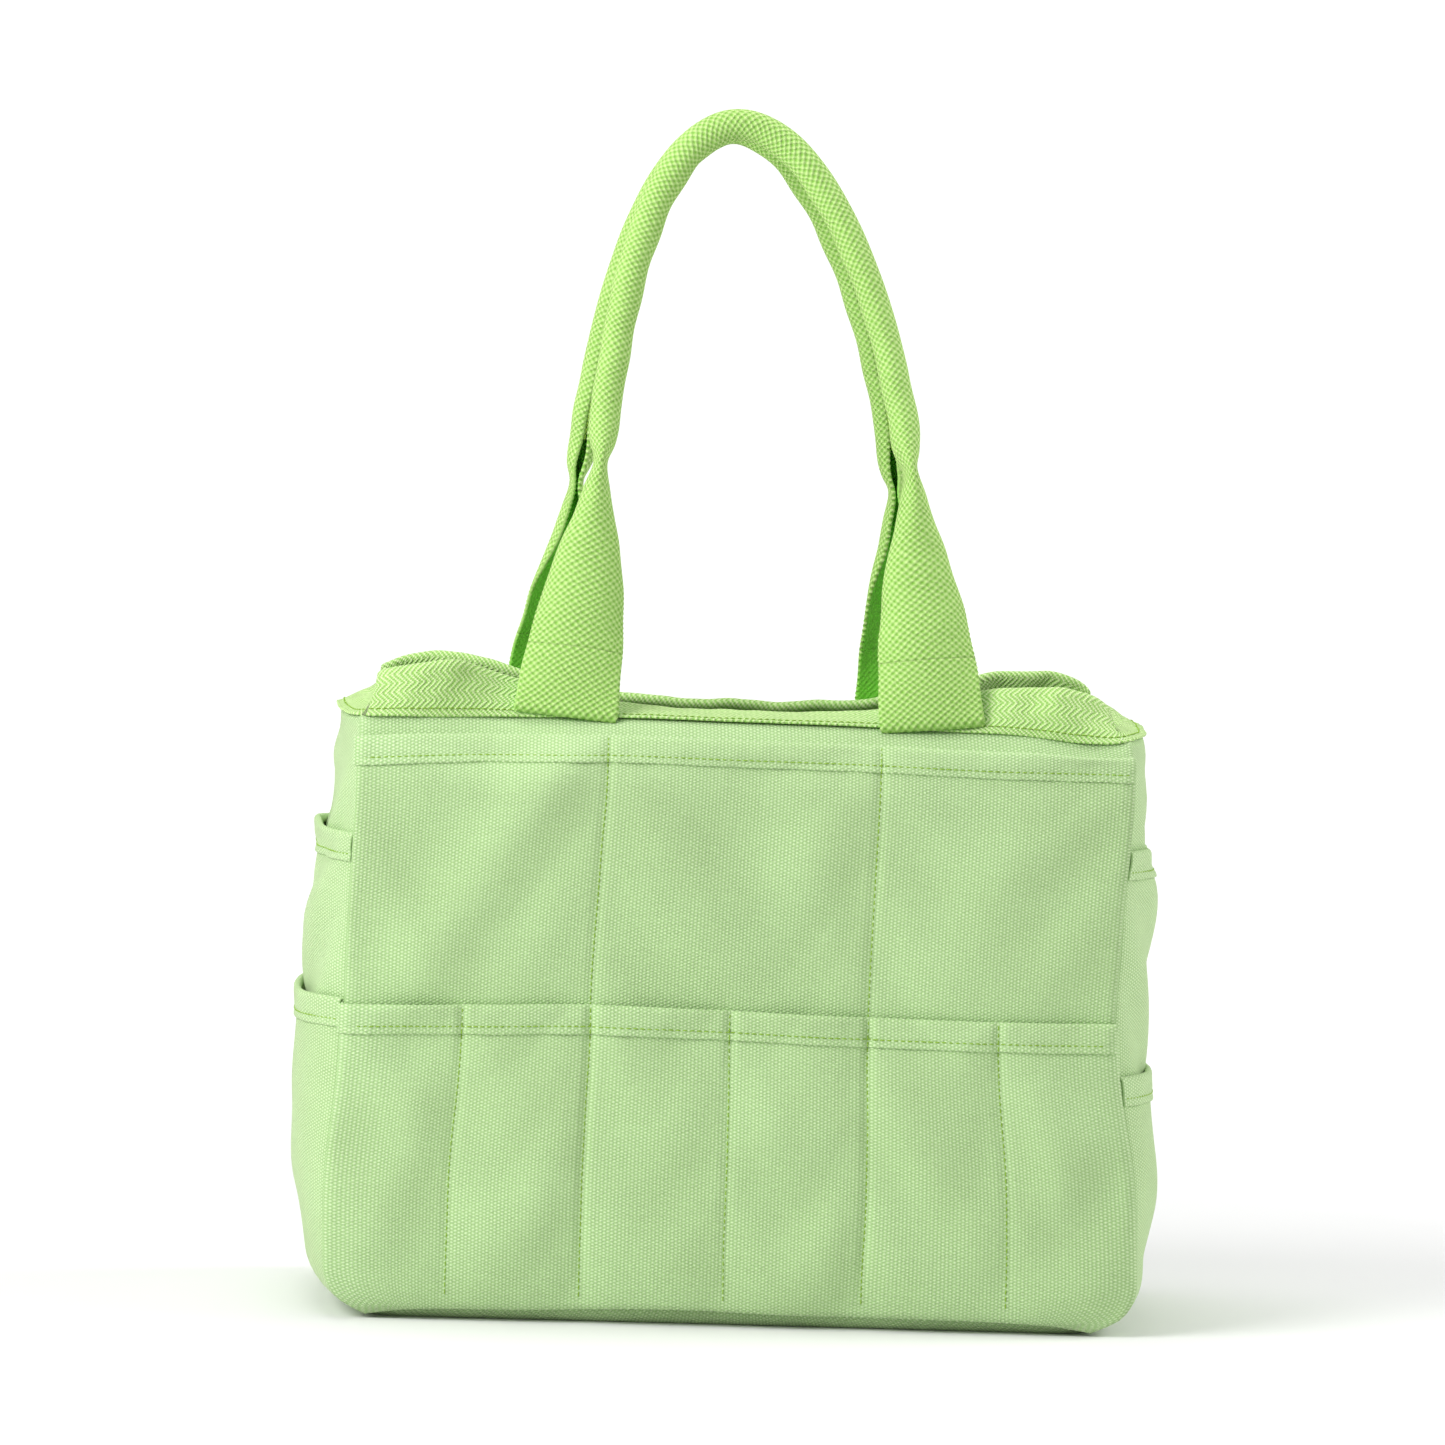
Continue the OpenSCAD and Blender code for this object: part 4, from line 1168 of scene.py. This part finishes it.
for side in ("front", "back"):
    panel(side)
    front_pocket(side, "upper")
    front_pocket(side, "lower")
    face_threads(side)
    handle(side)
    for end in ("left", "right"):
        corner_binding(side, end)
for side in ("left", "right"):
    gusset(side)
    side_pocket(side, "upper")
    side_pocket(side, "lower")
    side_threads(side)
base()
rim()

# ---------------------------------------------------------------- studio

scene = bpy.context.scene
SKY, BACKDROP = 0.42, 1.1  # the sky's light on the bag, and how bright the camera sees the backdrop
FLOOR_LIGHT, FLOOR_BOUNCE = 0.85, 0.8  # the floor's whiteness to the camera, and to the bag
n = Nodes("Studio_floor")
seen = n.add("ShaderNodeLightPath").outputs["Is Camera Ray"]
place = n.add("ShaderNodeNewGeometry").outputs["Position"]
away = n.add("ShaderNodeVectorMath", {0: place}, operation="LENGTH").outputs["Value"]
# Away from the bag the floor turns into the backdrop
far = n.add("ShaderNodeMapRange", {0: away, 1: 0.42, 2: 0.85}).outputs[0]
grey = n.math("MULTIPLY_ADD", seen, FLOOR_LIGHT - FLOOR_BOUNCE, FLOOR_BOUNCE)
matte = n.add("ShaderNodeBsdfDiffuse", {"Color": n.add("ShaderNodeCombineColor", {
    0: grey, 1: grey, 2: grey}).outputs[0]})
glow = n.add("ShaderNodeEmission", {"Strength": BACKDROP})
both = n.add("ShaderNodeMixShader", {0: n.math("MULTIPLY", far, seen), 1: matte.outputs[0],
                                     2: glow.outputs[0]})
n.add("ShaderNodeOutputMaterial", {"Surface": both.outputs[0]})
mesh = bpy.data.meshes.new("floor")
mesh.from_pydata([(-40, -40, 0), (40, -40, 0), (40, 40, 0), (-40, 40, 0)], [], [(0, 1, 2, 3)])
mesh.materials.append(n.owner)
floor = bpy.data.objects.new("floor", mesh)
scene.collection.objects.link(floor)

n = Nodes("Studio", bpy.data.worlds)
seen = n.add("ShaderNodeLightPath").outputs["Is Camera Ray"]
light = n.add("ShaderNodeBackground", {
    "Color": (1, 1, 1, 1), "Strength": n.math("MULTIPLY_ADD", seen, BACKDROP - SKY, SKY)})
n.add("ShaderNodeOutputWorld", {"Surface": light.outputs[0]})
scene.world = n.owner


def area_light(name, place, height, size, power):
    """A round lamp, turned to a point of the given height above the bag's middle."""
    data = bpy.data.lights.new(name, "AREA")
    data.shape, data.size, data.energy = "DISK", size, power
    thing = bpy.data.objects.new(name, data)
    scene.collection.objects.link(thing)
    direction = Vector((0, 0, height)) - Vector(place)
    thing.rotation_euler = direction.to_track_quat("-Z", "Y").to_euler()
    thing.location = place


area_light("key", (-1.30, -0.95, 1.15), 0.18, 1.2, 29)
area_light("fill", (1.40, 0.25, 0.9), 0.2, 0.9, 14)
area_light("top", (-0.25, 0.15, 1.9), 0.2, 1.0, 10)

# The camera stands 2.3 m in front of the bag, a little to its left and above it
YAW, PITCH_DOWN, ROLL = 0.0454, 0.0450, 0.0330
CAMERA_AT = (-0.112, -2.366, 0.320)
FOCAL_IN_FRAMES = 4.478  # focal length over the frame's width
camera_data = bpy.data.cameras.new("camera")
camera_data.sensor_width = 36
camera_data.lens = 36 * FOCAL_IN_FRAMES
camera = bpy.data.objects.new("camera", camera_data)
scene.collection.objects.link(camera)
camera.matrix_world = (
    Matrix.Translation(CAMERA_AT) @ Matrix.Rotation(-YAW, 4, "Z")
    @ Matrix.Rotation(math.pi / 2 - PITCH_DOWN, 4, "X") @ Matrix.Rotation(ROLL, 4, "Z"))
scene.camera = camera
scene.view_settings.view_transform = "Standard"
scene.view_settings.look = "None"
